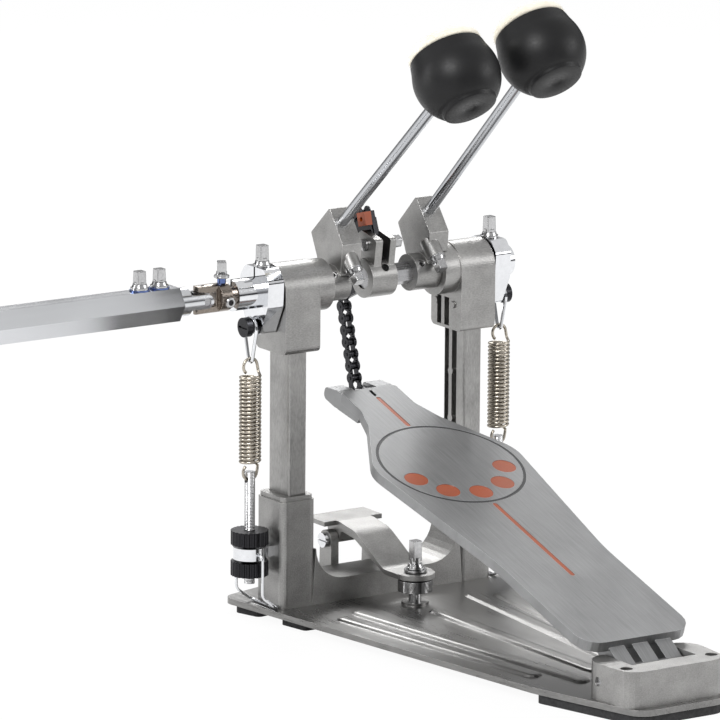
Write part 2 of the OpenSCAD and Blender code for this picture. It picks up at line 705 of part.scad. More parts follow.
// Key bolts that clamp a rocker and a beater rod, and the set screws of a hub
clamp_bolt_r = 2.2;
clamp_bolt_z = 18.4;
clamp_seat_y = -2.4;
set_screw_r = 2.6;
set_screw_turns = [52, 172];
function clamp_bolt_x(x) = sign(x) * min(abs(x), collar_out - key_flange_r - 0.2);
function set_screw_x(rod_x0, collar_x0) = (collar_x0 + rod_x0 - block_w / 2) / 2;
module hub_bolts(side, rod_x0, lean, collar_x0) {
    color("#d9dcdf") {
        translate([side * (rocker_in + rocker_w / 2), 0, axle_z + rocker_top])
            key_bolt(rocker_bolt_r, 9, 14);
        translate([clamp_bolt_x(rod_x0), 0, axle_z]) rotate([lean, 0, 0])
            translate([0, clamp_seat_y, clamp_bolt_z]) rotate([90, 0, 0])
                key_bolt(clamp_bolt_r, rod_offset - rod_r - clamp_seat_y - 2 * seat, 10);
    }
    color("#3a3b3d") for (a = set_screw_turns) translate([set_screw_x(rod_x0, collar_x0), 0, axle_z])
        rotate([a, 0, 0]) difference() {
            translate([0, 0, hex_r + seat]) cylinder(h = 3.6, r = set_screw_r - slip);
            translate([0, 0, hex_r + 2.2]) cylinder(h = 3, r = 1.3, $fn = 6);
        }
}

module right_hub_bolts() {
    hub_bolts(1, rod_x_right, lean_right, right_collar_in);
}

module left_hub_bolts() {
    hub_bolts(-1, -rod_x_left, lean_left, -collar_out);
}

// Beaters. A beater stands along Z here and leans back by its own angle
collar_r = 12.25;
module beater_hub(rod_x0, lean, collar_x0, collar_x1) {
    color("#c4c7ca") translate([0, 0, axle_z]) difference() {
        union() {
            rod_x(collar_x0, collar_x1, collar_r);
            rotate([lean, 0, 0]) translate([rod_x0, 0, 0]) along_x(-block_w / 2, block_w / 2)
                polygon(rounded([[rod_offset + 9.8, 1.8, 1.2], [rod_offset + 10, 31.3, 1.2],
                    [rod_offset - 17.3, 27.9, 1.2], [-5, 9, 0], [5, -10, 0],
                    [rod_offset - 5.2, -2.6, 1.2]]));
            rotate([lean, 0, 0]) translate([clamp_bolt_x(rod_x0), clamp_seat_y, clamp_bolt_z])
                rotate([-90, 0, 0]) cylinder(h = rod_offset - 15, r = key_flange_r);
        }
        hex_x(-big, big, hex_r + slip);
        for (side = [-1, 1]) translate([side * (collar_out + big / 2), 0, 0])
            rod_x(-big / 2, big / 2, housing_r);
        rotate([lean, 0, 0]) {
            translate([rod_x0, rod_offset, -big / 2]) cylinder(h = big, r = rod_r + slip);
            translate([clamp_bolt_x(rod_x0), clamp_seat_y - 1, clamp_bolt_z])
                rotate([-90, 0, 0]) cylinder(h = rod_offset, r = clamp_bolt_r + slip);
        }
        for (a = set_screw_turns) translate([set_screw_x(rod_x0, collar_x0), 0, 0])
            rotate([a, 0, 0]) cylinder(h = collar_r + 2, r = set_screw_r);
    }
}

collar_in = 27.8;
right_collar_in = 24.6;
module right_beater_hub() {
    beater_hub(rod_x_right, lean_right, right_collar_in, collar_out);
}

module left_beater_hub() {
    beater_hub(-rod_x_left, lean_left, -collar_out, -collar_in);
}

rod_under = 6;
module beater_rod(x, lean, reach) {
    color("#cfd2d5") translate([x, 0, axle_z]) rotate([lean, 0, 0])
        translate([0, rod_offset, -rod_under]) cylinder(h = reach + rod_under - 2, r = rod_r);
}

felt_h = 18.5;
shoulder_h = 8;
disc_r = 0.7 * head_r;
module beater_head(x, lean, reach) {
    shoulder_r = sqrt(head_r * head_r - shoulder_h * shoulder_h);
    belly = sqrt(head_r * head_r - disc_r * disc_r);
    color("#1c1d1f") head_frame(x, lean, reach) difference() {
        union() {
            intersection() {
                sphere(head_r);
                translate([0, 0, -belly]) cylinder(h = belly + shoulder_h, r = head_r + 1);
            }
            translate([0, 0, shoulder_h])
                cylinder(h = felt_h - shoulder_h, r1 = shoulder_r, r2 = felt_r + 0.6);
            translate([0, 0, -belly - 1]) cylinder(h = 2, r = disc_r - 1.6);
            translate([0, 0, -belly - 3]) cylinder(h = 2.5, r1 = disc_r - 2.4, r2 = disc_r - 0.4);
        }
        rotate([-90, 0, 0]) translate([0, 0, 1]) cylinder(h = 40, r = rod_r + slip);
    }
}

felt_r = 24.5;
module beater_felt(x, lean, reach) {
    color("#ebe3cc") head_frame(x, lean, reach) rotate_extrude($fn = 48)
        polygon([[0, felt_h], [felt_r - 0.6, felt_h], [felt_r, felt_h + 2.5],
            [felt_r - 2.5, felt_h + 7.2], [felt_r - 5, felt_h + 8.4], [0, felt_h + 9.2]]);
}

// The head's own frame: Z towards the drum, the rod coming in along Y
module head_frame(x, lean, reach) {
    translate([x, 0, axle_z]) rotate([lean, 0, 0]) translate([0, rod_offset, reach])
        rotate([-90, 0, 0]) children();
}

// Axles, cam and chain
cam_hub_x0 = -11.4;
cam_hub_x1 = 8.3;
module main_axle() {
    color("#8d8f92") translate([0, 0, axle_z]) {
        hex_x(cam_hub_x0 + 1.2, boss_x - 0.5, hex_r);
        rod_x(boss_x - 1, rocker_in + rocker_w + 7, journal_r);
    }
}

yoke_disc = 8;
yoke_gap = 11.5;
module left_axle() {
    color("#8d8f92") translate([0, 0, axle_z]) {
        hex_x(-boss_x + 0.5, -collar_in - 1, hex_r);
        rod_x(-joint_x + yoke_gap + 2, -boss_x + 1, journal_r);
    }
    color("#5d5a57") translate([-joint_x, 0, axle_z]) yoke(0, 0);
}

// Half of a universal joint, its ears on Z (turn 0) or on Y (turn 90), its disc on +X
ear_half = 4.7;
cross_r = 2.5;
module yoke(turn, sleeve) {
    rotate([turn, 0, 0]) difference() {
        union() {
            rod_x(yoke_gap, yoke_gap + yoke_disc + sleeve, joint_r);
            intersection() {
                rod_x(-ear_half, yoke_gap + 1, joint_r);
                union() {
                    box([0, -ear_half, -big], [big, ear_half, big]);
                    cylinder(h = big, r = ear_half, center = true);
                }
            }
        }
        box([-ear_half - 1, -big, -5], [yoke_gap - 2, big, 5]);
        cylinder(h = 60, r = cross_r + slip, center = true);
    }
}

module cross() {
    color("#8d8f92") {
        cube(8.8, center = true);
        cylinder(h = 2 * joint_r - 1.2, r = cross_r, center = true);
        rotate([90, 0, 0]) cylinder(h = 2 * joint_r - 1.2, r = cross_r, center = true);
    }
}

module cam_hub() {
    color("#c4c7ca") translate([0, 0, axle_z]) difference() {
        union() {
            rod_x(cam_hub_x0, cam_hub_x1, 13);
            for (x = [[-8.5, -cheek_in], [cheek_in, 7.5]]) along_x(x[0], x[1])
                polygon(rounded([[-9, 6, 0], [-12, 27, 2], [6, 31, 3], [14, 25, 3], [10, 5, 0]]));
        }
        hex_x(cam_hub_x0 + 1.2, big, hex_r + slip);
        rod_x(-big, 0, 7);
        rotate([52, 0, 0]) cylinder(h = 14, r = 2.8);
        rod_x(-big, big, cam_bolt_r + slip, cam_bolt_at.x, cam_bolt_at.y);
    }
}

// Toothed wheel sector that the chain lies on
cheek_in = 3;
cam_from = leave_angle - 16;
cam_to = leave_angle + (free_links + anchor_links) * link_angle + 14;
module cam() {
    web = roller_len / 2 - 0.3;
    color("#202124") translate([0, 0, axle_z]) difference() {
        union() {
            along_x(-web, web) sector(cam_r + 0.7, cam_from, cam_to);
            along_x(-cheek_in + 0.1, cheek_in - 0.1) sector(cam_r - link_h - 1.2, cam_from, cam_to);
        }
        rod_x(-big, big, 13 + slip);
        rod_x(-big, big, cam_bolt_r + slip, cam_bolt_at.x, cam_bolt_at.y);
        for (k = [-1:free_links + anchor_links + 1]) rotate([leave_angle + k * link_angle, 0, 0])
            translate([0, cam_r, 0]) rod_x(-5, 5, roller_r + 0.6);
        for (a = [cam_from + 22:24:cam_to - 20]) rotate([a, 0, 0])
            translate([0, cam_r - 16, 0]) rod_x(-20, 20, 4.4);
    }
}

module sector(r, a0, a1) {
    polygon(concat([for (i = [0:24]) let (a = a0 + (a1 - a0) * i / 24) r * [cos(a), sin(a)]],
        [[-6, 10], [-6, -6], [8, -8]]));
}

// Orange block that sets the cam's feel, on the cam's player side
module cam_insert() {
    color("#d9531e") translate([0, 0, axle_z]) rotate([cam_to - 8, 0, 0])
        difference() {
            box([-8.5, cam_r - 10, 0], [-cheek_in - 0.1, cam_r - 1, 9]);
            rod_x(-10, 0, 1.6, cam_r - 5.5, 4.5);
        }
}

cam_bolt_r = 2.2;
cam_bolt_at = [1, 22];
module cam_bolts() {
    color("#d9dcdf") translate([0, cam_bolt_at.x, axle_z + cam_bolt_at.y]) {
        translate([7.6, 0, 0]) rotate([0, 90, 0]) rotate([0, 0, 20]) key_bolt(cam_bolt_r, 18.1, 11);
        rod_x(-10.3, -8.6, 4.2);
    }
}

// Chain parts. Inner links carry the rollers, outer links the pins
inner_x = roller_len / 2;
outer_x = inner_x + link_t + 0.12;
module link_plate(len, x, hole_r, far_hole_r) {
    along_x(x, x + link_t) difference() {
        union() {
            circle(link_h);
            translate([len, 0]) circle(link_h);
            translate([0, -link_h * 0.62]) square([len, link_h * 1.24]);
        }
        circle(hole_r);
        translate([len, 0]) circle(far_hole_r);
    }
}

// Inner link from its first pin at the origin to the next along Y
module inner_link(len) {
    color("#1b1b1d") {
        for (x = [-inner_x - link_t, inner_x]) link_plate(len, x, chain_pin_r + slip, chain_pin_r + slip);
        for (y = [0, len]) translate([0, y, 0])
            ring_x(-inner_x, inner_x, roller_r, chain_pin_r + slip);
    }
}

module outer_link(len, last = true) {
    color("#2a2a2c") {
        for (x = [-outer_x - link_t, outer_x])
            link_plate(len, x, chain_pin_r - 0.1, last ? chain_pin_r - 0.1 : chain_pin_r + slip);
        for (y = last ? [0, len] : [0]) translate([0, y, 0])
            rod_x(-outer_x - link_t - 0.5, outer_x + link_t + 0.5, chain_pin_r);
    }
}

// Pin k of the chain on the cam, counted up from the place where the chain leaves it
function cam_pin(k) = cam_r * [cos(leave_angle + k * link_angle), sin(leave_angle + k * link_angle)];

// Link from pin k to pin k - 1 on the cam
module cam_link(k) {
    d = cam_pin(k - 1) - cam_pin(k);
    translate([0, cam_pin(k).x, axle_z + cam_pin(k).y]) rotate([atan2(d.y, d.x), 0, 0])
        if (k % 2 == 0) outer_link(norm(d)); else inner_link(norm(d));
}

module cam_chain() {
    for (k = [free_links + 1:free_links + anchor_links]) cam_link(k);
}

module chain_strand() {
    translate([0, cam_pin(0).x, axle_z + cam_pin(0).y]) rotate([leave_angle - 90, 0, 0])
        for (i = [0:strand_links - 1]) translate([0, i * strand_pitch, 0])
            if (i % 2 == 0) outer_link(strand_pitch, i < strand_links - 1);
            else inner_link(strand_pitch);
}

module toe_pin() {
    color("#9a9da0") translate([0, toe_y, toe_z]) rod_x(-15, 15, chain_pin_r);
}

// Footboard
toe_notch = 9;
notch_s = 103.5;
board_edge = rounded(both_sides([[board_heel_w, -board_back, 15],
    [board_heel_w - 1, -120, 200], [board_w - 5, -34, 40], [board_w, 8, 30], [28, 58, 30],
    [board_toe_w, 78, 12], [board_toe_w, notch_s, 3]]));
rim_w = 4.5;
board_hollow = rounded(both_sides([[board_heel_w - rim_w, rim_w - board_back, 10],
    [board_heel_w - 1 - rim_w, -120, 200], [board_w - 5 - rim_w, -34, 40],
    [board_w - rim_w, 8, 26], [28 - rim_w, 55, 26], [board_toe_w - rim_w, 74, 2]]));
module board_frame() {
    translate(disc) rotate([board_tilt, 0, 0]) children();
}

module footboard() {
    color("#a7abaf") board_frame() difference() {
        union() {
            difference() {
                translate([0, 0, -board_rim]) linear_extrude(board_rim) polygon(board_edge);
                translate([0, 0, -board_rim - 1]) linear_extrude(board_rim + 1 - board_skin)
                    polygon(board_hollow);
            }
            board_ribs();
            toe_ears();
            heel_lug();
        }
        inlay_cuts();
        box([-1.2, 93, -board_skin - 1], [1.2, 100.5, 1]);
        translate([0, heel_at.x, heel_at.y]) rod_x(-big, big, heel_pin_r + slip);
        toe_pin_slot();
    }
}

module board_ribs() {
    low = -board_rim + 1;
    for (x = [-22, 22]) box([x - 1.2, -board_back + 6, low], [x + 1.2, 30, -board_skin + 0.5]);
    for (s = [-180, -130, -80, -30, 20]) box([2 - board_heel_w, s, low],
        [board_heel_w - 2, s + 2.4, -board_skin + 0.5]);
}

// Thick toe with two ears that carry the chain's pin
ear_low = -13.6;
ear_end = toe_pin_s + 6;
module toe_ears() {
    ear_x = board_toe_w - 0.4;
    along_x(-ear_x, ear_x) polygon([[notch_s - 26, -2], [notch_s, -2],
        [notch_s, ear_low + 0.4], [notch_s - 24, ear_low + 3]]);
    for (side = [-1, 1]) translate([side * (toe_notch + ear_x) / 2, 0, 0])
        along_x((toe_notch - ear_x) / 2, (ear_x - toe_notch) / 2)
            polygon(rounded([[notch_s - 8, -1.5, 0], [notch_s + 4, -1.5, 3],
                [ear_end, toe_pin_n + 2, 3.8], [ear_end, ear_low, 3.8], [notch_s + 4, ear_low, 4],
                [notch_s - 8, ear_low + 2, 0]]));
}

// The pin runs in blind slots, because the chain is carried by the cam in this model
slot_run = 3.3;
toe_slot_r = chain_pin_r + 0.25;
module toe_pin_slot() {
    translate([0, toe_pin_s, toe_pin_n]) rotate([-board_tilt, 0, 0])
        along_x(-15.5, 15.5) polygon(rounded([[-toe_slot_r, -toe_slot_r, 1.2],
            [slot_run + toe_slot_r, -toe_slot_r, 1.2], [slot_run + toe_slot_r, toe_slot_r, 1.2],
            [-toe_slot_r, toe_slot_r, 1.2]]));
}

module heel_lug() {
    translate([0, heel_at.x, heel_at.y]) rod_x(-lug_w, lug_w, heel_pin_r + 5);
    for (x = [-lug_w, -6, lug_w - 12]) along_x(x, x + 12) polygon([
        [20 - board_back, -board_rim + 3], [2 - board_back, -board_rim + 3],
        [heel_at.x - 3, heel_at.y + 6.5], [heel_at.x + 2, heel_at.y - 7.6],
        [20 - board_back, -board_rim - 2]]);
}

inlay_deep = 0.8;
stripes = [[89.6, 52.9], [-53.3, -144.8]];
stripe_r = 1.6;
dot_angles = [-162, -126, -90, -54, -18];
module inlay_shapes(grow, thick) {
    translate([0, 0, -inlay_deep]) {
        for (a = dot_angles) translate(dot_circle_r * [cos(a), sin(a)])
            cylinder(h = thick, r = dot_r + grow);
        for (s = stripes) {
            for (y = s) translate([0, y, 0]) cylinder(h = thick, r = stripe_r + grow);
            translate([-stripe_r - grow, s[1], 0]) cube([2 * stripe_r + 2 * grow, s[0] - s[1], thick]);
        }
    }
}

ring_half = 1;
module ring_shape(grow, thick) {
    translate([0, 0, -inlay_deep]) difference() {
        cylinder(h = thick, r = ring_r + ring_half + grow);
        translate([0, 0, -1]) cylinder(h = thick + 2, r = ring_r - ring_half - grow);
    }
}

module inlay_cuts() {
    inlay_shapes(slip, inlay_deep + 1);
    ring_shape(slip, inlay_deep + 1);
}

module board_inlays() {
    color("#c4571c") board_frame() inlay_shapes(0, inlay_deep - 0.25);
}

module board_ring() {
    color("#1c1c1e") board_frame() ring_shape(0, inlay_deep - 0.25);
}

// Drive shaft
tube_x0 = -joint_x - yoke_gap - yoke_disc;
tube_x1 = tube_x0 - tube_len;
far_x = tube_x1 - shaft_out - yoke_disc - yoke_gap;
tube_turn = 30;
tube_bolt_r = 2.4;
near_bolts = [-12, -27];
far_bolts = [14, 28];
tube_bolt_xs = [for (x = near_bolts) tube_x0 + x, for (x = far_bolts) tube_x1 + x];
module outer_tube() {
    color("#d3d6d9") translate([0, 0, axle_z]) difference() {
        rotate([tube_turn, 0, 0]) hex_x(tube_x1, tube_x0, tube_af / 2 / cos(30));
        rotate([tube_turn, 0, 0])
            hex_x(tube_x1 - 1, tube_x0 - 10, shaft_af / 2 / cos(30) + seat);
        for (x = tube_bolt_xs) translate([x, 0, 0])
            cylinder(h = tube_af, r = tube_bolt_r + slip);
    }
    color("#5d5a57") translate([-joint_x, 0, axle_z]) mirror([1, 0, 0]) yoke(90, 0);
}

module tube_bolts() {
    shank = tube_af / 2 - shaft_af / 2 - 0.8;
    color("#5b7fb0") for (x = near_bolts) translate([tube_x0 + x, 0, axle_z + tube_af / 2])
        difference() {
            cylinder(h = 1, r = 6.6);
            translate([0, 0, -1]) cylinder(h = 3, r = 3);
        }
    color("#d9dcdf") for (x = near_bolts) translate([tube_x0 + x, 0, axle_z + tube_af / 2 + 1])
        key_bolt(tube_bolt_r, shank + 1, 12);
    color("#d9dcdf") for (x = far_bolts) translate([tube_x1 + x, 0, axle_z + tube_af / 2])
        key_bolt(tube_bolt_r, shank, 12);
}

shaft_in = 110;
module inner_shaft() {
    color("#c9cccf") translate([0, 0, axle_z]) rotate([tube_turn, 0, 0])
        hex_x(tube_x1 - shaft_out - 1, tube_x1 + min(shaft_in, tube_len - 15),
            shaft_af / 2 / cos(30));
    color("#5d5a57") translate([far_x, 0, axle_z]) yoke(0, 0);
}

module near_cross() {
    translate([-joint_x, 0, axle_z]) cross();
}

module far_cross() {
    translate([far_x, 0, axle_z]) cross();
}

far_sleeve = 14;
module far_yoke() {
    color("#5d5a57") translate([far_x, 0, axle_z]) mirror([1, 0, 0]) difference() {
        yoke(90, far_sleeve);
        rod_x(yoke_gap + 4, 100, far_bore_r);
        translate([yoke_gap + yoke_disc + far_sleeve / 2, 0, 0]) cylinder(h = 20, r = 2.5);
    }
}

base_plate();
rubber_feet();
lower_casting();
uprights();
bearing_housings();
ball_races();
heel_block();
heel_pin();
clamp_bracket();
clamp_pin();
clamp_lever();
clamp_washer();
clamp_screw();
spring_ears();
nut_guards();
main_axle();
cam_hub();
cam();
cam_insert();
cam_bolts();
cam_chain();
cam_link(1);  // chain_link_1
cam_link(2);  // chain_link_2
cam_link(3);  // chain_link_3
cam_link(4);  // chain_link_4
cam_link(5);  // chain_link_5
chain_strand();
toe_pin();
right_beater_hub();
rocker(1, 8);  // right_rocker
roller(1);  // right_roller
right_hub_bolts();  // right_bolts
beater_rod(rod_x_right, lean_right, reach_right);  // right_rod
beater_head(rod_x_right, lean_right, reach_right);  // right_head
beater_felt(rod_x_right, lean_right, reach_right);  // right_felt
left_axle();
left_beater_hub();
rocker(-1, 18);  // left_rocker
roller(-1);  // left_roller
left_hub_bolts();  // left_bolts
beater_rod(-rod_x_left, lean_left, reach_left);  // left_rod
beater_head(-rod_x_left, lean_left, reach_left);  // left_head
beater_felt(-rod_x_left, lean_left, reach_left);  // left_felt
spring(1);  // right_spring
eye_rod(1);  // right_eye_rod
nuts(1);  // right_nuts
spring_link(1);  // right_spring_link
spring(-1);  // left_spring
eye_rod(-1);  // left_eye_rod
nuts(-1);  // left_nuts
spring_link(-1);  // left_spring_link
footboard();
board_inlays();
board_ring();
near_cross();
outer_tube();
tube_bolts();
inner_shaft();
far_cross();
far_yoke();
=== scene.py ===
import math

import bmesh
import bpy
from mathutils import Matrix, Vector


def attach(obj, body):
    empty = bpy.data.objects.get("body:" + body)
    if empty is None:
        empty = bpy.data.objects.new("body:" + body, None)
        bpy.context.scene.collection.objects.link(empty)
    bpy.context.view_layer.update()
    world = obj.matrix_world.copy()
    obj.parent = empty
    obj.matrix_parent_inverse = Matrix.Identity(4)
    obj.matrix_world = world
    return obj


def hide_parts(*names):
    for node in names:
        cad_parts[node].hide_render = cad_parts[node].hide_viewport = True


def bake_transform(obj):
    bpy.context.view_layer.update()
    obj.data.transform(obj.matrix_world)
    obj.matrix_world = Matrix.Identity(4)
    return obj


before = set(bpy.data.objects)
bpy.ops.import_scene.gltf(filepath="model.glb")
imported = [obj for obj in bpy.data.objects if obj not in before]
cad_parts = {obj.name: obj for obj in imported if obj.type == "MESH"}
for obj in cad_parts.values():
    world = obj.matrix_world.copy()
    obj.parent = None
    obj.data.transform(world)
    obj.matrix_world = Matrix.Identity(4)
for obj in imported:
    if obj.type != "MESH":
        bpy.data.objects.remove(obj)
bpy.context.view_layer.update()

bl_info = {
    "name": "Double pedal dresser",
    "version": (1, 0, 0),
    "blender": (4, 5, 0),
    "location": "3D View > Sidebar > Pedal",
    "description": "Finishes and detailed pieces for a double bass drum pedal",
    "category": "Object",
}

# Places and sizes of the CAD pieces, in metres in the row frame
SIDES = ("right", "left")
AXLE_Z = 0.222
LEAN = {"right": math.radians(45.3), "left": math.radians(48.1)}
REACH = {"right": 0.2063, "left": 0.2026}
ROD_X = {"right": 0.0415, "left": -0.0285}
ROD_OFFSET = 0.0284
SPRING_X = {"right": 0.099, "left": -0.099}
SPRING_ENDS = (0.108, 0.167)
SPRING_RADIUS = 0.0075
CURL_STEPS = 20
HOOK_RADIUS = 0.0053
HOOK_STEPS = 20
HOOK_STEP = 11.5
TUBE_TOP = AXLE_Z + 0.011
WASHER_X = (-0.1695, -0.1845)
SLEEVE_RADIUS = 0.0094
SLEEVE_BOLT_X = -0.1216
SLEEVE_SCREW_X = -0.1215
# Set screw holes: side, place along the axle and radius; near-black pieces in them are painted
# shade
SET_SCREW_HOLES = (("right", 0.0293, 0.0111), ("left", -0.0399, 0.0111), ("cam", 0.0, 0.0112))
SET_SCREW_TURN = math.radians(52)
# Socket screws and bolts: edges over this angle, in degrees, stay crisp
CRISP = 35


# Node helpers

NOISE_RANGE = (0.3, 0.7)
EDGE_RANGE = (0.93, 0.998)
EDGE_SAMPLES = 4


class Tree:
    """Short calls for building one material's nodes."""

    def __init__(self, name):
        self.material = bpy.data.materials.new(name)
        self.material.use_nodes = True
        self.nodes = self.material.node_tree.nodes
        self.links = self.material.node_tree.links
        self.shader = self.nodes["Principled BSDF"]

    def node(self, kind, settings=None, **inputs):
        made = self.nodes.new(kind)
        for key, value in (settings or {}).items():
            setattr(made, key, value)
        for key, value in inputs.items():
            self.put(made.inputs[key.replace("_", " ")], value)
        return made

    def put(self, socket, value):
        if isinstance(value, bpy.types.NodeSocket):
            self.links.new(value, socket)
        else:
            socket.default_value = value

    def coordinates(self, stretch=(1, 1, 1)):
        place = self.node("ShaderNodeTexCoord").outputs["Object"]
        return self.node("ShaderNodeMapping", Vector=place, Scale=stretch).outputs["Vector"]

    def noise(self, vector, scale, detail=4.0, rough=0.55):
        return self.node("ShaderNodeTexNoise", Vector=vector, Scale=scale, Detail=detail,
                         Roughness=rough).outputs["Fac"]

    def spread(self, value, low, high, start=NOISE_RANGE[0], end=NOISE_RANGE[1]):
        return self.node("ShaderNodeMapRange", Value=value, From_Min=start, From_Max=end,
                         To_Min=low, To_Max=high).outputs["Result"]

    def shades(self, value, dark, light):
        ramp = self.node("ShaderNodeValToRGB", Fac=value)
        for stop, place, colour in zip(ramp.color_ramp.elements, NOISE_RANGE, (dark, light)):
            stop.position = place
            stop.color = (*colour, 1)
        return ramp.outputs["Color"]

    def relief(self, height, distance, strength=1.0, under=None):
        made = self.node("ShaderNodeBump", Height=height, Distance=distance, Strength=strength)
        if under is not None:
            self.links.new(under, made.inputs["Normal"])
        return made.outputs["Normal"]

    def edges(self, radius):
        """A normal that rounds sharp edges, and a mask of those edges."""
        bevel = self.node("ShaderNodeBevel", {"samples": EDGE_SAMPLES}, Radius=radius)
        rounded = bevel.outputs["Normal"]
        plain = self.node("ShaderNodeNewGeometry").outputs["Normal"]
        meet = self.node("ShaderNodeVectorMath", {"operation": "DOT_PRODUCT"})
        self.put(meet.inputs[0], rounded)
        self.put(meet.inputs[1], plain)
        return rounded, self.spread(meet.outputs["Value"], 1.0, 0.0, *EDGE_RANGE)

    def maths(self, operation, *values):
        made = self.node("ShaderNodeMath", {"operation": operation})
        for socket, value in zip(made.inputs, values):
            self.put(socket, value)
        return made.outputs[0]

    def blend(self, share, first, second):
        made = self.node("ShaderNodeMixRGB", Fac=share, Color1=first, Color2=second)
        return made.outputs["Color"]

    def finish(self, **inputs):
        for key, value in inputs.items():
            self.put(self.shader.inputs[key.replace("_", " ")], value)
        return self.material


# The wave texture counts its bands at a twentieth of its scale
WAVE_BANDS = 20


def scaled(colour, share):
    return tuple(min(1.0, c * share) for c in colour)


def metal(name, colour, rough, grain=900.0, stretch=(1, 1, 1), relief=0.00003, vary=0.16,
          blotch=30.0, edge_wear_and_light=1.5, edge=0.0004):
    """Metal with a fine grain, worn patches, edges and creases tinted partly for wear and partly as
    painted light, and a lightly uneven gloss.
    """
    tree = Tree(name)
    place = tree.coordinates(stretch)
    fine = tree.noise(place, grain, 3.0)
    patch = tree.noise(tree.coordinates(), blotch, 5.0)
    mixed = tree.maths("MULTIPLY_ADD", fine, 0.5, tree.maths("MULTIPLY", patch, 0.5))
    shade = tree.shades(mixed, scaled(colour, 1 - vary), scaled(colour, 1 + vary / 2))
    roughness = tree.spread(mixed, rough * 0.8, rough * 1.25)
    rounded = None
    if edge:
        rounded, rim = tree.edges(edge)
        # Edges and creases in worn patches take a scaled colour: partly wear, partly a painted
        # highlight; a scale under one darkens them, a painted shade
        worn_and_lit_edges = tree.maths("MULTIPLY", rim, tree.spread(patch, 0.25, 0.9, 0.35, 0.6))
        shade = tree.blend(worn_and_lit_edges, shade, (*scaled(colour, edge_wear_and_light), 1))
    return tree.finish(Base_Color=shade, Metallic=1.0, Roughness=roughness,
                       Normal=tree.relief(fine, relief, under=rounded))


def plastic(name, colour, rough, grain=1400.0, relief=0.00002, vary=0.2, gloss=0.5):
    """Moulded plastic or rubber with a fine surface texture."""
    tree = Tree(name)
    place = tree.coordinates()
    fine = tree.noise(place, grain, 2.0)
    patch = tree.noise(place, 45.0, 4.0)
    return tree.finish(
        Base_Color=tree.shades(patch, scaled(colour, 1 - vary), scaled(colour, 1 + vary)),
        Roughness=tree.spread(fine, rough * 0.85, rough * 1.2), Specular_IOR_Level=gloss,
        Normal=tree.relief(fine, relief))


def threaded(name, colour, rough, pitch, relief):
    """Metal with a fine screw thread along Z."""
    tree = Tree(name)
    place = tree.coordinates()
    wave = tree.node("ShaderNodeTexWave", {"bands_direction": "Z"}, Vector=place,
                     Scale=math.pi * 2 / pitch / WAVE_BANDS, Distortion=0.0)
    fine = tree.noise(place, 900.0)
    return tree.finish(
        Base_Color=tree.shades(fine, scaled(colour, 0.8), colour), Metallic=1.0,
        Roughness=tree.spread(fine, rough * 0.8, rough * 1.2),
        Normal=tree.relief(wave.outputs["Fac"], relief))


def felt(name, colour):
    """Pressed wool: soft mottling, deep fuzz and a light sheen."""
    tree = Tree(name)
    place = tree.coordinates()
    fuzz = tree.noise(place, 700.0, 6.0, 0.75)
    lump = tree.noise(place, 120.0, 4.0)
    return tree.finish(
        Base_Color=tree.shades(lump, scaled(colour, 0.86), colour),
        Roughness=0.95, Sheen_Weight=0.4, Sheen_Roughness=0.5,
        Normal=tree.relief(fuzz, 0.0004, 0.8, tree.relief(lump, 0.0006, 0.6)))


FINISHES = {}


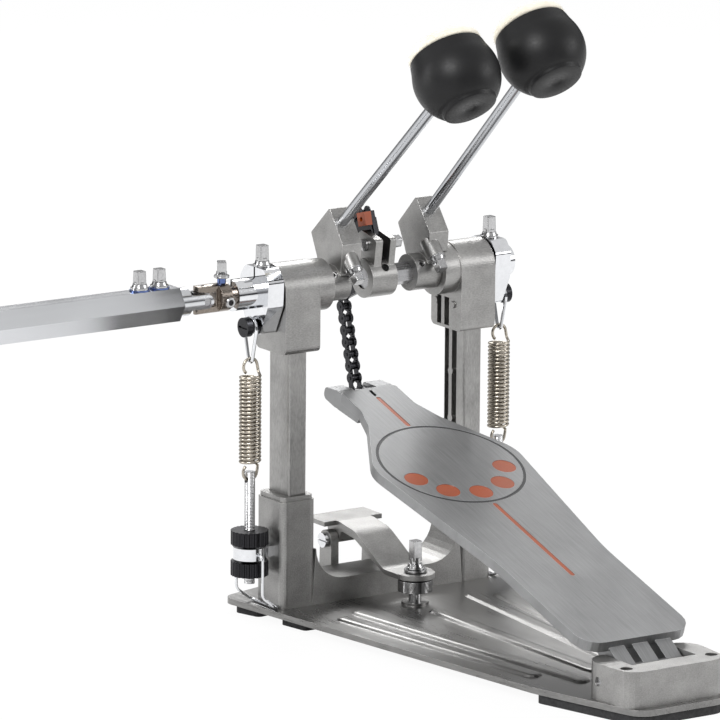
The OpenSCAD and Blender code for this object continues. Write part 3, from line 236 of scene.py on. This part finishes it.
def make_finishes(colours):
    """Every finish of the pedal, by a plain name."""
    bright = tuple(colours.casting)
    FINISHES.update(
        casting=metal("Blasted casting", scaled(bright, 0.84), rough=0.42, grain=1300,
                      relief=0.00016, vary=0.36, blotch=75, edge_wear_and_light=1.7),
        post=metal("Brushed upright", scaled(bright, 0.84), rough=0.37, grain=1300,
                   stretch=(1, 1, 0.25), relief=0.00009, vary=0.36, blotch=60, edge_wear_and_light=1.6),
        housing=metal("Turned housing", scaled(bright, 0.88), rough=0.36, grain=1300,
                      stretch=(0.5, 1, 1), relief=0.0001, vary=0.36, blotch=60, edge_wear_and_light=1.7),
        board=metal("Brushed footboard", tuple(colours.board), rough=0.45, grain=1100,
                    stretch=(1, 0.03, 0.06), relief=0.00005, vary=0.3, blotch=22, edge_wear_and_light=1.7),
        plate=metal("Rolled plate", scaled(bright, 0.62), rough=0.3, grain=600,
                    stretch=(1, 0.04, 1), relief=0.00004, vary=0.32, blotch=18, edge_wear_and_light=1.9),
        hub=metal("Machined hub", scaled(bright, 0.82), rough=0.34, grain=1400,
                  stretch=(0.5, 1, 1), relief=0.0001, vary=0.36, blotch=80, edge_wear_and_light=1.9),
        chrome=metal("Chrome", (0.76, 0.77, 0.79), rough=0.08, grain=300, relief=0, vary=0.1,
                     edge=0),
        # Darker edges and creases on the bolts: painted shade
        bolt=metal("Plated bolt", (0.5, 0.5, 0.505), rough=0.12, grain=600, relief=0, vary=0.3,
                   edge_wear_and_light=0.2, edge=0.0006),
        rod=metal("Plated rod", (0.5, 0.51, 0.53), rough=0.16, grain=40, relief=0, vary=0.05,
                  edge=0),
        shaft=metal("Polished shaft", (0.66, 0.67, 0.69), rough=0.18, grain=200,
                    stretch=(0.02, 1, 1), relief=0, vary=0.06, edge=0),
        steel=metal("Plain steel", (0.4, 0.4, 0.41), rough=0.28, stretch=(0.05, 1, 1), vary=0.3,
                    edge=0),
        joint=metal("Dark nickel joint", tuple(colours.joint), rough=0.24, relief=0.00005,
                    vary=0.4, edge_wear_and_light=2.2),
        wire=metal("Spring wire", tuple(colours.spring), rough=0.24, grain=700, relief=0.00002,
                   vary=0.3, edge=0),
        # Much lighter edges on the black links: painted highlight, partly wear
        chain=metal("Black chain", (0.04, 0.04, 0.044), rough=0.28, vary=0.5, edge_wear_and_light=5,
                    edge=0.0002),
        black=metal("Black oxide", (0.035, 0.035, 0.038), rough=0.3, vary=0.3, edge=0),
        blue=metal("Blued washer", (0.12, 0.17, 0.36), rough=0.22, grain=700, vary=0.2, edge=0),
        thread=threaded("Threaded rod", (0.72, 0.72, 0.73), rough=0.22, pitch=0.001,
                        relief=0.0002),
        rubber=plastic("Foot rubber", (0.02, 0.02, 0.021), rough=0.8, grain=500, relief=0.0001),
        head=plastic("Head plastic", (0.007, 0.007, 0.0075), rough=0.42, grain=900,
                     relief=0.00001, gloss=0.26),
        felt=felt("Wool felt", tuple(colours.felt)),
        inlay=plastic("Orange inlay", tuple(colours.inlay), rough=0.35, grain=900,
                      relief=0.00001, vary=0.12),
        ring=plastic("Black inlay", (0.02, 0.02, 0.022), rough=0.45),
    )


def paint(finish, *nodes):
    for name in nodes:
        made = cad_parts[name]
        made.data.materials.clear()
        made.data.materials.append(FINISHES[finish])


# Mesh helpers

def mesh_piece(name, points, faces, finish, smooth=True):
    """New object in the row frame from points and faces, its seams merged."""
    mesh = bpy.data.meshes.new(name)
    mesh.from_pydata([tuple(p) for p in points], [], faces)
    cleaned = bmesh.new()
    cleaned.from_mesh(mesh)
    bmesh.ops.remove_doubles(cleaned, verts=cleaned.verts, dist=1e-6)
    bmesh.ops.recalc_face_normals(cleaned, faces=cleaned.faces)
    cleaned.to_mesh(mesh)
    cleaned.free()
    for polygon in mesh.polygons:
        polygon.use_smooth = smooth
    mesh.materials.append(FINISHES[finish])
    made = bpy.data.objects.new(name, mesh)
    bpy.context.collection.objects.link(made)
    return made


def lathe(name, profile, place, finish, steps=64):
    """Solid of revolution of (radius, height) points, put in its place by a matrix."""
    points, faces = [], []
    for radius, height in profile:
        for k in range(steps):
            turn = 2 * math.pi * k / steps
            points.append(
                place @ Vector((radius * math.cos(turn), radius * math.sin(turn), height)))
    for low in range(0, (len(profile) - 1) * steps, steps):
        high = low + steps
        for k in range(steps):
            after = (k + 1) % steps
            faces.append((low + k, low + after, high + after, high + k))
    return mesh_piece(name, points, faces, finish)


def sharpen(made, degrees):
    """Smooth shading that keeps edges over the given angle crisp."""
    mesh = made.data
    edges = bmesh.new()
    edges.from_mesh(mesh)
    for edge in edges.edges:
        if len(edge.link_faces) == 2 and edge.calc_face_angle(0) > math.radians(degrees):
            edge.smooth = False
    edges.to_mesh(mesh)
    edges.free()
    return made


def head_place(side):
    """Matrix from a head's own frame, Z towards the drum and the rod along -Y, to the row frame."""
    return (Matrix.Translation((ROD_X[side], 0, AXLE_Z))
            @ Matrix.Rotation(LEAN[side], 4, "X")
            @ Matrix.Translation((0, ROD_OFFSET, REACH[side]))
            @ Matrix.Rotation(-math.pi / 2, 4, "X"))


def arc(radius, height, start, end, steps):
    """Points of a sphere's outline, angles measured up from its equator."""
    return [(radius * math.cos(a), height + radius * math.sin(a))
            for a in (math.radians(start + (end - start) * i / steps) for i in range(steps + 1))]


# Geometry Nodes

def applied(source, name, finish):
    """Plain object of what a modifier makes of the source, which is then deleted."""
    bpy.context.view_layer.update()
    ready = source.evaluated_get(bpy.context.evaluated_depsgraph_get())
    mesh = bpy.data.meshes.new_from_object(ready)
    bpy.data.objects.remove(source)
    mesh.name = name
    mesh.materials.clear()
    mesh.materials.append(FINISHES[finish])
    made = bpy.data.objects.new(name, mesh)
    bpy.context.collection.objects.link(made)
    return made


WIRE_SIDES = 10


def wire_tree(finish):
    """Round wire along a curve, with its radius as a named input."""
    tree = bpy.data.node_groups.new("Wire along a path", "GeometryNodeTree")
    tree.interface.new_socket("Path", in_out="INPUT", socket_type="NodeSocketGeometry")
    radius = tree.interface.new_socket("Wire radius", in_out="INPUT", socket_type="NodeSocketFloat")
    tree.interface.new_socket("Wire", in_out="OUTPUT", socket_type="NodeSocketGeometry")
    start, end = tree.nodes.new("NodeGroupInput"), tree.nodes.new("NodeGroupOutput")
    section = tree.nodes.new("GeometryNodeCurvePrimitiveCircle")
    section.inputs["Resolution"].default_value = WIRE_SIDES
    sweep = tree.nodes.new("GeometryNodeCurveToMesh")
    sweep.inputs["Fill Caps"].default_value = True
    smooth = tree.nodes.new("GeometryNodeSetShadeSmooth")
    real = tree.nodes.new("GeometryNodeRealizeInstances")
    coat = tree.nodes.new("GeometryNodeSetMaterial")
    coat.inputs["Material"].default_value = FINISHES[finish]
    link = tree.links.new
    link(start.outputs["Path"], sweep.inputs["Curve"])
    link(start.outputs["Wire radius"], section.inputs["Radius"])
    link(section.outputs["Curve"], sweep.inputs["Profile Curve"])
    link(sweep.outputs["Mesh"], smooth.inputs["Geometry"])
    link(smooth.outputs["Geometry"], real.inputs["Geometry"])
    link(real.outputs["Geometry"], coat.inputs["Geometry"])
    link(coat.outputs["Geometry"], end.inputs["Wire"])
    return tree, radius.identifier


def wire_piece(name, points, radius, finish):
    """Wire of the given radius through points, made by the wire tree and turned to a plain mesh."""
    curve = bpy.data.curves.new(name, "CURVE")
    curve.dimensions = "3D"
    spline = curve.splines.new("POLY")
    spline.points.add(len(points) - 1)
    for made, place in zip(spline.points, points):
        made.co = (*place, 1)
    path = bpy.data.objects.new(name + "_path", curve)
    bpy.context.collection.objects.link(path)
    tree, socket = wire_tree(finish)
    modifier = path.modifiers.new("Wire", "NODES")
    modifier.node_group = tree
    modifier[socket] = radius
    return applied(path, name, finish)


FIBRE_DENSITY = 260000
FIBRE_ROOT, FIBRE_TIP = 0.00008, 0.00002
FIBRE_TILT = 0.9


def fibre_tree(finish):
    """Short fibres scattered over a surface, with named inputs for their density and length."""
    tree = bpy.data.node_groups.new("Felt fibres", "GeometryNodeTree")
    tree.interface.new_socket("Surface", in_out="INPUT", socket_type="NodeSocketGeometry")
    density = tree.interface.new_socket("Density", in_out="INPUT", socket_type="NodeSocketFloat")
    length = tree.interface.new_socket("Length", in_out="INPUT", socket_type="NodeSocketFloat")
    tree.interface.new_socket("Fibres", in_out="OUTPUT", socket_type="NodeSocketGeometry")
    start, end = tree.nodes.new("NodeGroupInput"), tree.nodes.new("NodeGroupOutput")
    spots = tree.nodes.new("GeometryNodeDistributePointsOnFaces")
    spots.inputs["Seed"].default_value = 7
    cone = tree.nodes.new("GeometryNodeMeshCone")
    cone.inputs["Vertices"].default_value = 3
    cone.inputs["Radius Top"].default_value = FIBRE_TIP
    cone.inputs["Radius Bottom"].default_value = FIBRE_ROOT
    tilt = tree.nodes.new("FunctionNodeRandomValue")
    tilt.data_type = "FLOAT_VECTOR"
    tilt.inputs["Min"].default_value = (-FIBRE_TILT,) * 3
    tilt.inputs["Max"].default_value = (FIBRE_TILT,) * 3
    tilt.inputs["Seed"].default_value = 3
    turn = tree.nodes.new("FunctionNodeRotateRotation")
    turn.rotation_space = "LOCAL"
    euler = tree.nodes.new("FunctionNodeEulerToRotation")
    place = tree.nodes.new("GeometryNodeInstanceOnPoints")
    real = tree.nodes.new("GeometryNodeRealizeInstances")
    coat = tree.nodes.new("GeometryNodeSetMaterial")
    coat.inputs["Material"].default_value = FINISHES[finish]
    link = tree.links.new
    link(start.outputs["Surface"], spots.inputs["Mesh"])
    link(start.outputs["Density"], spots.inputs["Density"])
    link(start.outputs["Length"], cone.inputs["Depth"])
    link(spots.outputs["Points"], place.inputs["Points"])
    link(cone.outputs["Mesh"], place.inputs["Instance"])
    link(tilt.outputs[0], euler.inputs[0])
    link(spots.outputs["Rotation"], turn.inputs["Rotation"])
    link(euler.outputs[0], turn.inputs["Rotate By"])
    link(turn.outputs["Rotation"], place.inputs["Rotation"])
    link(place.outputs["Instances"], real.inputs["Geometry"])
    link(real.outputs["Geometry"], coat.inputs["Geometry"])
    link(coat.outputs["Geometry"], end.inputs["Fibres"])
    return tree, density.identifier, length.identifier


def fibres(name, surface, density, length, finish):
    """Loose fibres on a surface, made by the fibre tree and turned to a plain mesh."""
    made = bpy.data.objects.new(name, surface.data.copy())
    bpy.context.collection.objects.link(made)
    tree, density_socket, length_socket = fibre_tree(finish)
    modifier = made.modifiers.new("Fibres", "NODES")
    modifier.node_group = tree
    modifier[density_socket] = density
    modifier[length_socket] = length
    return applied(made, name, finish)


# Properties

class PedalColours(bpy.types.PropertyGroup):
    """Colours that a user would change."""
    casting: bpy.props.FloatVectorProperty(
        name="Casting", description="Bare cast aluminium", subtype="COLOR",
        default=(0.405, 0.4, 0.392), min=0, max=1)
    board: bpy.props.FloatVectorProperty(
        name="Footboard", description="Brushed footboard", subtype="COLOR",
        default=(0.3, 0.302, 0.305), min=0, max=1)
    joint: bpy.props.FloatVectorProperty(
        name="Joint", description="Universal joints", subtype="COLOR",
        default=(0.27, 0.235, 0.205), min=0, max=1)
    spring: bpy.props.FloatVectorProperty(
        name="Spring", description="Spring wire", subtype="COLOR",
        default=(0.46, 0.42, 0.36), min=0, max=1)
    inlay: bpy.props.FloatVectorProperty(
        name="Inlay", description="Orange dots and stripes of the footboard", subtype="COLOR",
        default=(0.27, 0.045, 0.005), min=0, max=1)
    felt: bpy.props.FloatVectorProperty(
        name="Felt", description="Striking felt of the beaters", subtype="COLOR",
        default=(0.85, 0.8, 0.68), min=0, max=1)


class PedalSizes(bpy.types.PropertyGroup):
    """Sizes that a user would change."""
    head_radius: bpy.props.FloatProperty(
        name="Head radius", description="Radius of a beater head", default=0.0287,
        min=0.02, max=0.04, subtype="DISTANCE", unit="LENGTH")
    spring_wire: bpy.props.FloatProperty(
        name="Spring wire", description="Radius of the spring wire", default=0.00102,
        min=0.0005, max=0.002, subtype="DISTANCE", unit="LENGTH")
    spring_curls: bpy.props.IntProperty(
        name="Spring curls", description="Curls of a return spring", default=23, min=4, max=60)
    fibre_length: bpy.props.FloatProperty(
        name="Fibre length", description="Length of the felt's loose fibres", default=0.0012,
        min=0.0002, max=0.004, subtype="DISTANCE", unit="LENGTH")


# Operators

class PEDAL_OT_finishes(bpy.types.Operator):
    """Make the finishes and give them to the CAD pieces"""
    bl_idname = "pedal.finishes"
    bl_label = "Finishes"

    def execute(self, context):
        make_finishes(context.scene.pedal_colours)
        paint("casting", "lower_casting", "heel_block", "clamp_bracket", "clamp_lever")
        paint("post", "uprights")
        paint("housing", "bearing_housings")
        paint("plate", "base_plate")
        paint("rubber", "rubber_feet")
        paint("steel", "ball_races", "heel_pin", "main_axle", "toe_pin", "near_cross", "far_cross")
        paint("chrome", "clamp_pin", "spring_ears", "nut_guards")
        paint("bolt", "clamp_washer", "clamp_screw", "cam_bolts", "tube_bolts")
        paint("hub", "cam_hub")
        paint("black", "cam")
        paint("inlay", "cam_insert", "board_inlays")
        paint("chain", "cam_chain", "chain_strand", *[f"chain_link_{k}" for k in range(1, 6)])
        paint("joint", "left_axle", "far_yoke")
        paint("shaft", "outer_tube", "inner_shaft")
        paint("board", "footboard")
        paint("ring", "board_ring")
        for side in SIDES:
            paint("hub", f"{side}_beater_hub")
            paint("chrome", f"{side}_rocker", f"{side}_spring_link")
            paint("bolt", f"{side}_bolts")
            paint("rod", f"{side}_rod")
            paint("black", f"{side}_roller", f"{side}_nuts")
            paint("head", f"{side}_head")
            paint("felt", f"{side}_felt")
            paint("wire", f"{side}_spring")
            paint("thread", f"{side}_eye_rod")
        return {"FINISHED"}


# Where the disc behind cuts the head's ball, as a share of its radius
DISC_SHARE = 0.714


class PEDAL_OT_beaters(bpy.types.Operator):
    """Turned beater heads with their felts"""
    bl_idname = "pedal.beaters"
    bl_label = "Beaters"

    def execute(self, context):
        sizes = context.scene.pedal_sizes
        radius = sizes.head_radius
        for side in SIDES:
            place = head_place(side)
            belly = -radius * DISC_SHARE
            # Radius and height, from the disc behind over the belly to the felt's seat
            profile = [(0, belly - 0.0028), (0.0035, belly - 0.0029), (0.0042, belly - 0.0034),
                       (0.0165, belly - 0.0034), (0.0178, belly - 0.003), (0.0184, belly - 0.0018),
                       (0.0186, belly - 0.0006), (0.0192, belly)]
            profile += arc(radius, 0, -44.5, 16, 26)
            profile += [(0.0272, 0.0092), (0.0262, 0.0125), (0.0253, 0.0165), (0.0247, 0.0182),
                        (0.0238, 0.0185), (0, 0.0185)]
            head = lathe(f"{side}_turned_head", profile, place, "head", 96)
            sharpen(head, 40)
            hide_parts(f"{side}_head")
            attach(head, f"{side}_beater_head")
            # The felt, from its seat to the striking face
            cap = [(0, 0.0186), (0.0225, 0.0186), (0.0242, 0.0192), (0.0247, 0.0206),
                   (0.0243, 0.0226), (0.0231, 0.0244), (0.0212, 0.0258), (0.0185, 0.0267),
                   (0.014, 0.0274), (0.007, 0.0277), (0, 0.0278)]
            pad = lathe(f"{side}_wool_pad", cap, place, "felt", 72)
            fuzz = fibres(f"{side}_wool_fibres", pad, FIBRE_DENSITY, sizes.fibre_length, "felt")
            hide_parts(f"{side}_felt")
            for made in (pad, fuzz):
                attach(made, f"{side}_beater_head")
        return {"FINISHED"}


class PEDAL_OT_springs(bpy.types.Operator):
    """Return springs with their hooks"""
    bl_idname = "pedal.springs"
    bl_label = "Return springs"

    def execute(self, context):
        sizes = context.scene.pedal_sizes
        low, high = SPRING_ENDS
        coil = SPRING_RADIUS - sizes.spring_wire
        steps = sizes.spring_curls * CURL_STEPS
        for side in SIDES:
            x = SPRING_X[side]

            def hooked(z, angle):
                a = math.radians(angle)
                return (x + HOOK_RADIUS * math.cos(a), 0, z + HOOK_RADIUS * math.sin(a))

            neck, bend = x + HOOK_RADIUS + 0.0004, x + coil - 0.0004
            path = [hooked(low - 0.006, -230 + HOOK_STEP * i) for i in range(HOOK_STEPS)]
            path += [(neck, 0, low - 0.0046), (bend, 0.0001, low - 0.0022)]
            for i in range(2, steps - 1):
                a = 2 * math.pi * i / CURL_STEPS
                path.append((x + coil * math.cos(a), coil * math.sin(a),
                             low + (high - low) * i / steps))
            path += [(bend, -0.0001, high + 0.0022), (neck, 0, high + 0.0046)]
            path += [hooked(high + 0.006, HOOK_STEP + HOOK_STEP * i) for i in range(HOOK_STEPS)]
            spring = wire_piece(f"{side}_coil_spring", path, sizes.spring_wire, "wire")
            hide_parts(f"{side}_spring")
            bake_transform(spring)
        return {"FINISHED"}


class PEDAL_OT_small_parts(bpy.types.Operator):
    """Blued washers, bolt and screw of the joint's sleeve, and near-black pieces painted as the
    shade in the set screw holes
    """
    bl_idname = "pedal.small_parts"
    bl_label = "Small parts"

    def execute(self, context):
        for number, x in enumerate(WASHER_X):
            place = Matrix.Translation((x, 0, TUBE_TOP))
            ring = [(0.0032, 0.00002), (0.0067, 0.00002), (0.0067, 0.0009), (0.0065, 0.0011),
                    (0.0062, 0.00112), (0.0032, 0.00112), (0.0032, 0.00002)]
            washer = lathe(f"blued_washer_{number + 1}", ring, place, "blue", 40)
            sharpen(washer, 40)
            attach(washer, "shaft_tube")
        self.key_bolt()
        self.cap_screw()
        # Near-black pieces in the set screw holes stand in for the holes' shade: painted shade
        for side, x, radius in SET_SCREW_HOLES:
            self.shaded_hole_patch(side, x, radius)
        return {"FINISHED"}

    def key_bolt(self):
        """Key bolt with a blued neck that holds the joint's sleeve to the axle"""
        place = Matrix.Translation((SLEEVE_BOLT_X, 0, AXLE_Z + SLEEVE_RADIUS))
        neck = lathe("sleeve_bolt_neck", [(0, 0), (0.0029, 0), (0.0029, 0.0034), (0, 0.0034)],
                     place, "blue", 32)
        flange = lathe("sleeve_bolt_flange", [
            (0, 0.0033), (0.0046, 0.0033), (0.0052, 0.0037), (0.0052, 0.0046), (0.0047, 0.0052),
            (0.0039, 0.0058), (0.0036, 0.0075), (0, 0.0075)], place, "bolt", 48)
        head = lathe("sleeve_bolt_head", [
            (0, 0.0064), (0.0043, 0.0064), (0.0043, 0.0137), (0.0036, 0.0144), (0, 0.0144)],
            place @ Matrix.Rotation(math.radians(15), 4, "Z"), "bolt", 4)
        for made in (neck, flange, head):
            sharpen(made, CRISP)
            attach(made, "left_drive")

    def cap_screw(self):
        """Socket screw in the side of the joint's sleeve, with the shade in its socket painted as a
        black disc
        """
        place = (Matrix.Translation((SLEEVE_SCREW_X, -SLEEVE_RADIUS, AXLE_Z - 0.002))
                 @ Matrix.Rotation(math.radians(90), 4, "X"))
        cup = lathe("sleeve_screw", [
            (0, 0), (0.0035, 0), (0.0035, 0.0018), (0.0031, 0.0022), (0.0019, 0.0022),
            (0.0019, 0.0008), (0, 0.0008)], place, "bolt", 36)
        # Black six-sided disc at the floor of the socket: painted shade in the recess
        floor = lathe("sleeve_screw_socket_shade", [(0, 0.0009), (0.00185, 0.0009), (0.00185, 0.0011),
                                              (0, 0.0011)], place, "black", 6)
        for made in (cup, floor):
            sharpen(made, CRISP)
            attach(made, "left_drive")

    def shaded_hole_patch(self, side, x, radius):
        """Near-black piece with a round recess in the set screw hole of a collar or of the cam's
        hub: painted shade of the hole
        """
        place = Matrix.Translation((x, 0, AXLE_Z)) @ Matrix.Rotation(SET_SCREW_TURN, 4, "X")
        # Near-black head plastic over the hole: painted shade
        rim = lathe(f"{side}_set_screw_hole_shade", [
            (0, radius - 0.0006), (0.00245, radius - 0.0006), (0.00245, radius),
            (0.0022, radius + 0.0002), (0.0013, radius + 0.0002), (0.0013, radius - 0.0004),
            (0, radius - 0.0004)], place, "head", 30)
        sharpen(rim, CRISP)
        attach(rim, "left_drive" if side == "left" else "main_drive")


# The camera was fitted to the photograph: azimuth, elevation and roll in degrees
CAMERA_TURN = (33.9, 12.51, 0.43)
CAMERA_PLACE = (-2.7143, -4.0204, 1.2418)
SENSOR = 36
FOCAL_PIXELS = 7519
PICTURE_PIXELS = 720
FLOOR_HALF = 9
FLOOR_TO_CAMERA = 0.94
FLOOR_TO_METAL = 0.5
ROOM_STRENGTH = 0.8
CARD_SCALE = 1.9
CARD_STOPS = ((0.44, (0.04, 0.04, 0.044, 1)), (0.59, (0.7, 0.7, 0.71, 1)))
# Between these heights of a reflected ray the cards turn into the white sky
SKY_RISE = (0.12, 0.55)
# Name, place, target, width, height and power of each lamp
LAMPS = (
    ("key", (-1.5, -1.1, 1.7), (0.02, 0, 0.16), 0.9, 0.9, 34),
    ("fill", (1.6, -1.3, 0.9), (0, 0, 0.14), 1.1, 0.7, 11),
    ("rim", (0.7, 1.7, 1.5), (0, 0, 0.18), 1.4, 0.6, 26),
    ("strip", (-1.9, 0.9, 0.6), (0, 0, 0.2), 0.35, 1.4, 12),
)


class PEDAL_OT_stage(bpy.types.Operator):
    """Camera at the photograph's angle, pale floor and soft light"""
    bl_idname = "pedal.stage"
    bl_label = "Stage"

    def execute(self, context):
        scene = context.scene
        scene.view_settings.view_transform = "Standard"
        lens = bpy.data.cameras.new("Camera")
        lens.sensor_width = SENSOR
        lens.lens = SENSOR * FOCAL_PIXELS / PICTURE_PIXELS
        camera = bpy.data.objects.new("Camera", lens)
        scene.collection.objects.link(camera)
        a, e, roll = (math.radians(angle) for angle in CAMERA_TURN)
        right = Vector((math.cos(a), -math.sin(a), 0))
        up = Vector((math.sin(a) * math.sin(e), math.cos(a) * math.sin(e), math.cos(e)))
        back = right.cross(up)
        right, up = (math.cos(roll) * right + math.sin(roll) * up,
                     math.cos(roll) * up - math.sin(roll) * right)
        camera.matrix_world = (Matrix.Translation(CAMERA_PLACE)
                               @ Matrix((right, up, back)).transposed().to_4x4())
        lens.clip_end = 60
        scene.camera = camera

        far = FLOOR_HALF
        floor = bpy.data.meshes.new("floor")
        floor.from_pydata([(-far, -far, 0), (far, -far, 0), (far, far, 0), (-far, far, 0)], [],
                          [(0, 1, 2, 3)])
        floor.materials.append(self.floor_finish())
        ground = bpy.data.objects.new("floor", floor)
        scene.collection.objects.link(ground)

        self.studio(scene)
        for lamp in LAMPS:
            self.lamp(*lamp)
        return {"FINISHED"}

    def floor_finish(self):
        """Pale floor that keeps the object's shadow and shows white to the camera and to metal."""
        tree = Tree("Pale floor")
        place = tree.coordinates()
        grain = tree.noise(place, 180.0, 3.0)
        tree.finish(Base_Color=tree.shades(grain, (0.86, 0.86, 0.86), (0.9, 0.9, 0.9)),
                    Roughness=0.9, Normal=tree.relief(grain, 0.0001))
        glow = tree.node("ShaderNodeEmission", Strength=1.0, Color=(1, 1, 1, 1))
        rays = tree.node("ShaderNodeLightPath").outputs
        seen = tree.maths("MULTIPLY", rays["Is Camera Ray"], FLOOR_TO_CAMERA)
        share = tree.maths("MULTIPLY_ADD", rays["Is Glossy Ray"], FLOOR_TO_METAL, seen)
        mix = tree.node("ShaderNodeMixShader")
        tree.put(mix.inputs[0], share)
        tree.put(mix.inputs[1], tree.shader.outputs["BSDF"])
        tree.put(mix.inputs[2], glow.outputs["Emission"])
        tree.put(tree.nodes["Material Output"].inputs["Surface"], mix.outputs[0])
        return tree.material

    def studio(self, scene):
        """White behind the object. Metal reflects a bright sky over pale and dark cards."""
        world = bpy.data.worlds.new("Studio")
        world.use_nodes = True
        scene.world = world
        nodes, link = world.node_tree.nodes, world.node_tree.links.new
        nodes.clear()
        end = nodes.new("ShaderNodeOutputWorld")
        white = nodes.new("ShaderNodeBackground")
        white.inputs["Color"].default_value = (1, 1, 1, 1)
        room = nodes.new("ShaderNodeBackground")
        room.inputs["Strength"].default_value = ROOM_STRENGTH
        way = nodes.new("ShaderNodeTexCoord")
        cards = nodes.new("ShaderNodeTexNoise")
        cards.inputs["Scale"].default_value = CARD_SCALE
        cards.inputs["Detail"].default_value = 1.0
        ramp = nodes.new("ShaderNodeValToRGB")
        for stop, (place, colour) in zip(ramp.color_ramp.elements, CARD_STOPS):
            stop.position, stop.color = place, colour
        axes = nodes.new("ShaderNodeSeparateXYZ")
        above = nodes.new("ShaderNodeMapRange")
        above.inputs["From Min"].default_value = SKY_RISE[0]
        above.inputs["From Max"].default_value = SKY_RISE[1]
        sky = nodes.new("ShaderNodeMixRGB")
        sky.inputs["Color2"].default_value = (1, 1, 1, 1)
        rays = nodes.new("ShaderNodeLightPath")
        mix = nodes.new("ShaderNodeMixShader")
        link(way.outputs["Generated"], cards.inputs["Vector"])
        link(cards.outputs["Fac"], ramp.inputs["Fac"])
        link(way.outputs["Generated"], axes.inputs["Vector"])
        link(axes.outputs["Z"], above.inputs["Value"])
        link(above.outputs["Result"], sky.inputs["Fac"])
        link(ramp.outputs["Color"], sky.inputs["Color1"])
        link(sky.outputs["Color"], room.inputs["Color"])
        link(rays.outputs["Is Camera Ray"], mix.inputs[0])
        link(room.outputs[0], mix.inputs[1])
        link(white.outputs[0], mix.inputs[2])
        link(mix.outputs[0], end.inputs["Surface"])

    def lamp(self, name, place, target, width, height, power):
        data = bpy.data.lights.new(name, "AREA")
        data.shape = "RECTANGLE"
        data.size, data.size_y, data.energy = width, height, power
        made = bpy.data.objects.new(name, data)
        made.matrix_world = (Matrix.Translation(place) @ (Vector(target) - Vector(place))
                             .to_track_quat("-Z", "Y").to_matrix().to_4x4())
        bpy.context.scene.collection.objects.link(made)


class PEDAL_PT_panel(bpy.types.Panel):
    """Sidebar panel that lists the sizes, the colours and the steps"""
    bl_idname = "PEDAL_PT_panel"
    bl_label = "Double pedal"
    bl_space_type = "VIEW_3D"
    bl_region_type = "UI"
    bl_category = "Pedal"

    def draw(self, context):
        layout = self.layout
        for group in (context.scene.pedal_sizes, context.scene.pedal_colours):
            for name in group.__annotations__:
                layout.prop(group, name)
        for step in STEPS:
            layout.operator(step.bl_idname)


STEPS = (PEDAL_OT_finishes, PEDAL_OT_beaters, PEDAL_OT_springs, PEDAL_OT_small_parts,
         PEDAL_OT_stage)
CLASSES = (PedalColours, PedalSizes, *STEPS, PEDAL_PT_panel)


def register():
    for made in CLASSES:
        bpy.utils.register_class(made)
    bpy.types.Scene.pedal_colours = bpy.props.PointerProperty(type=PedalColours)
    bpy.types.Scene.pedal_sizes = bpy.props.PointerProperty(type=PedalSizes)


def unregister():
    del bpy.types.Scene.pedal_sizes
    del bpy.types.Scene.pedal_colours
    for made in reversed(CLASSES):
        bpy.utils.unregister_class(made)


def main():
    register()
    for step in STEPS:
        group, name = step.bl_idname.split(".")
        getattr(getattr(bpy.ops, group), name)()


if __name__ == "__main__":
    main()
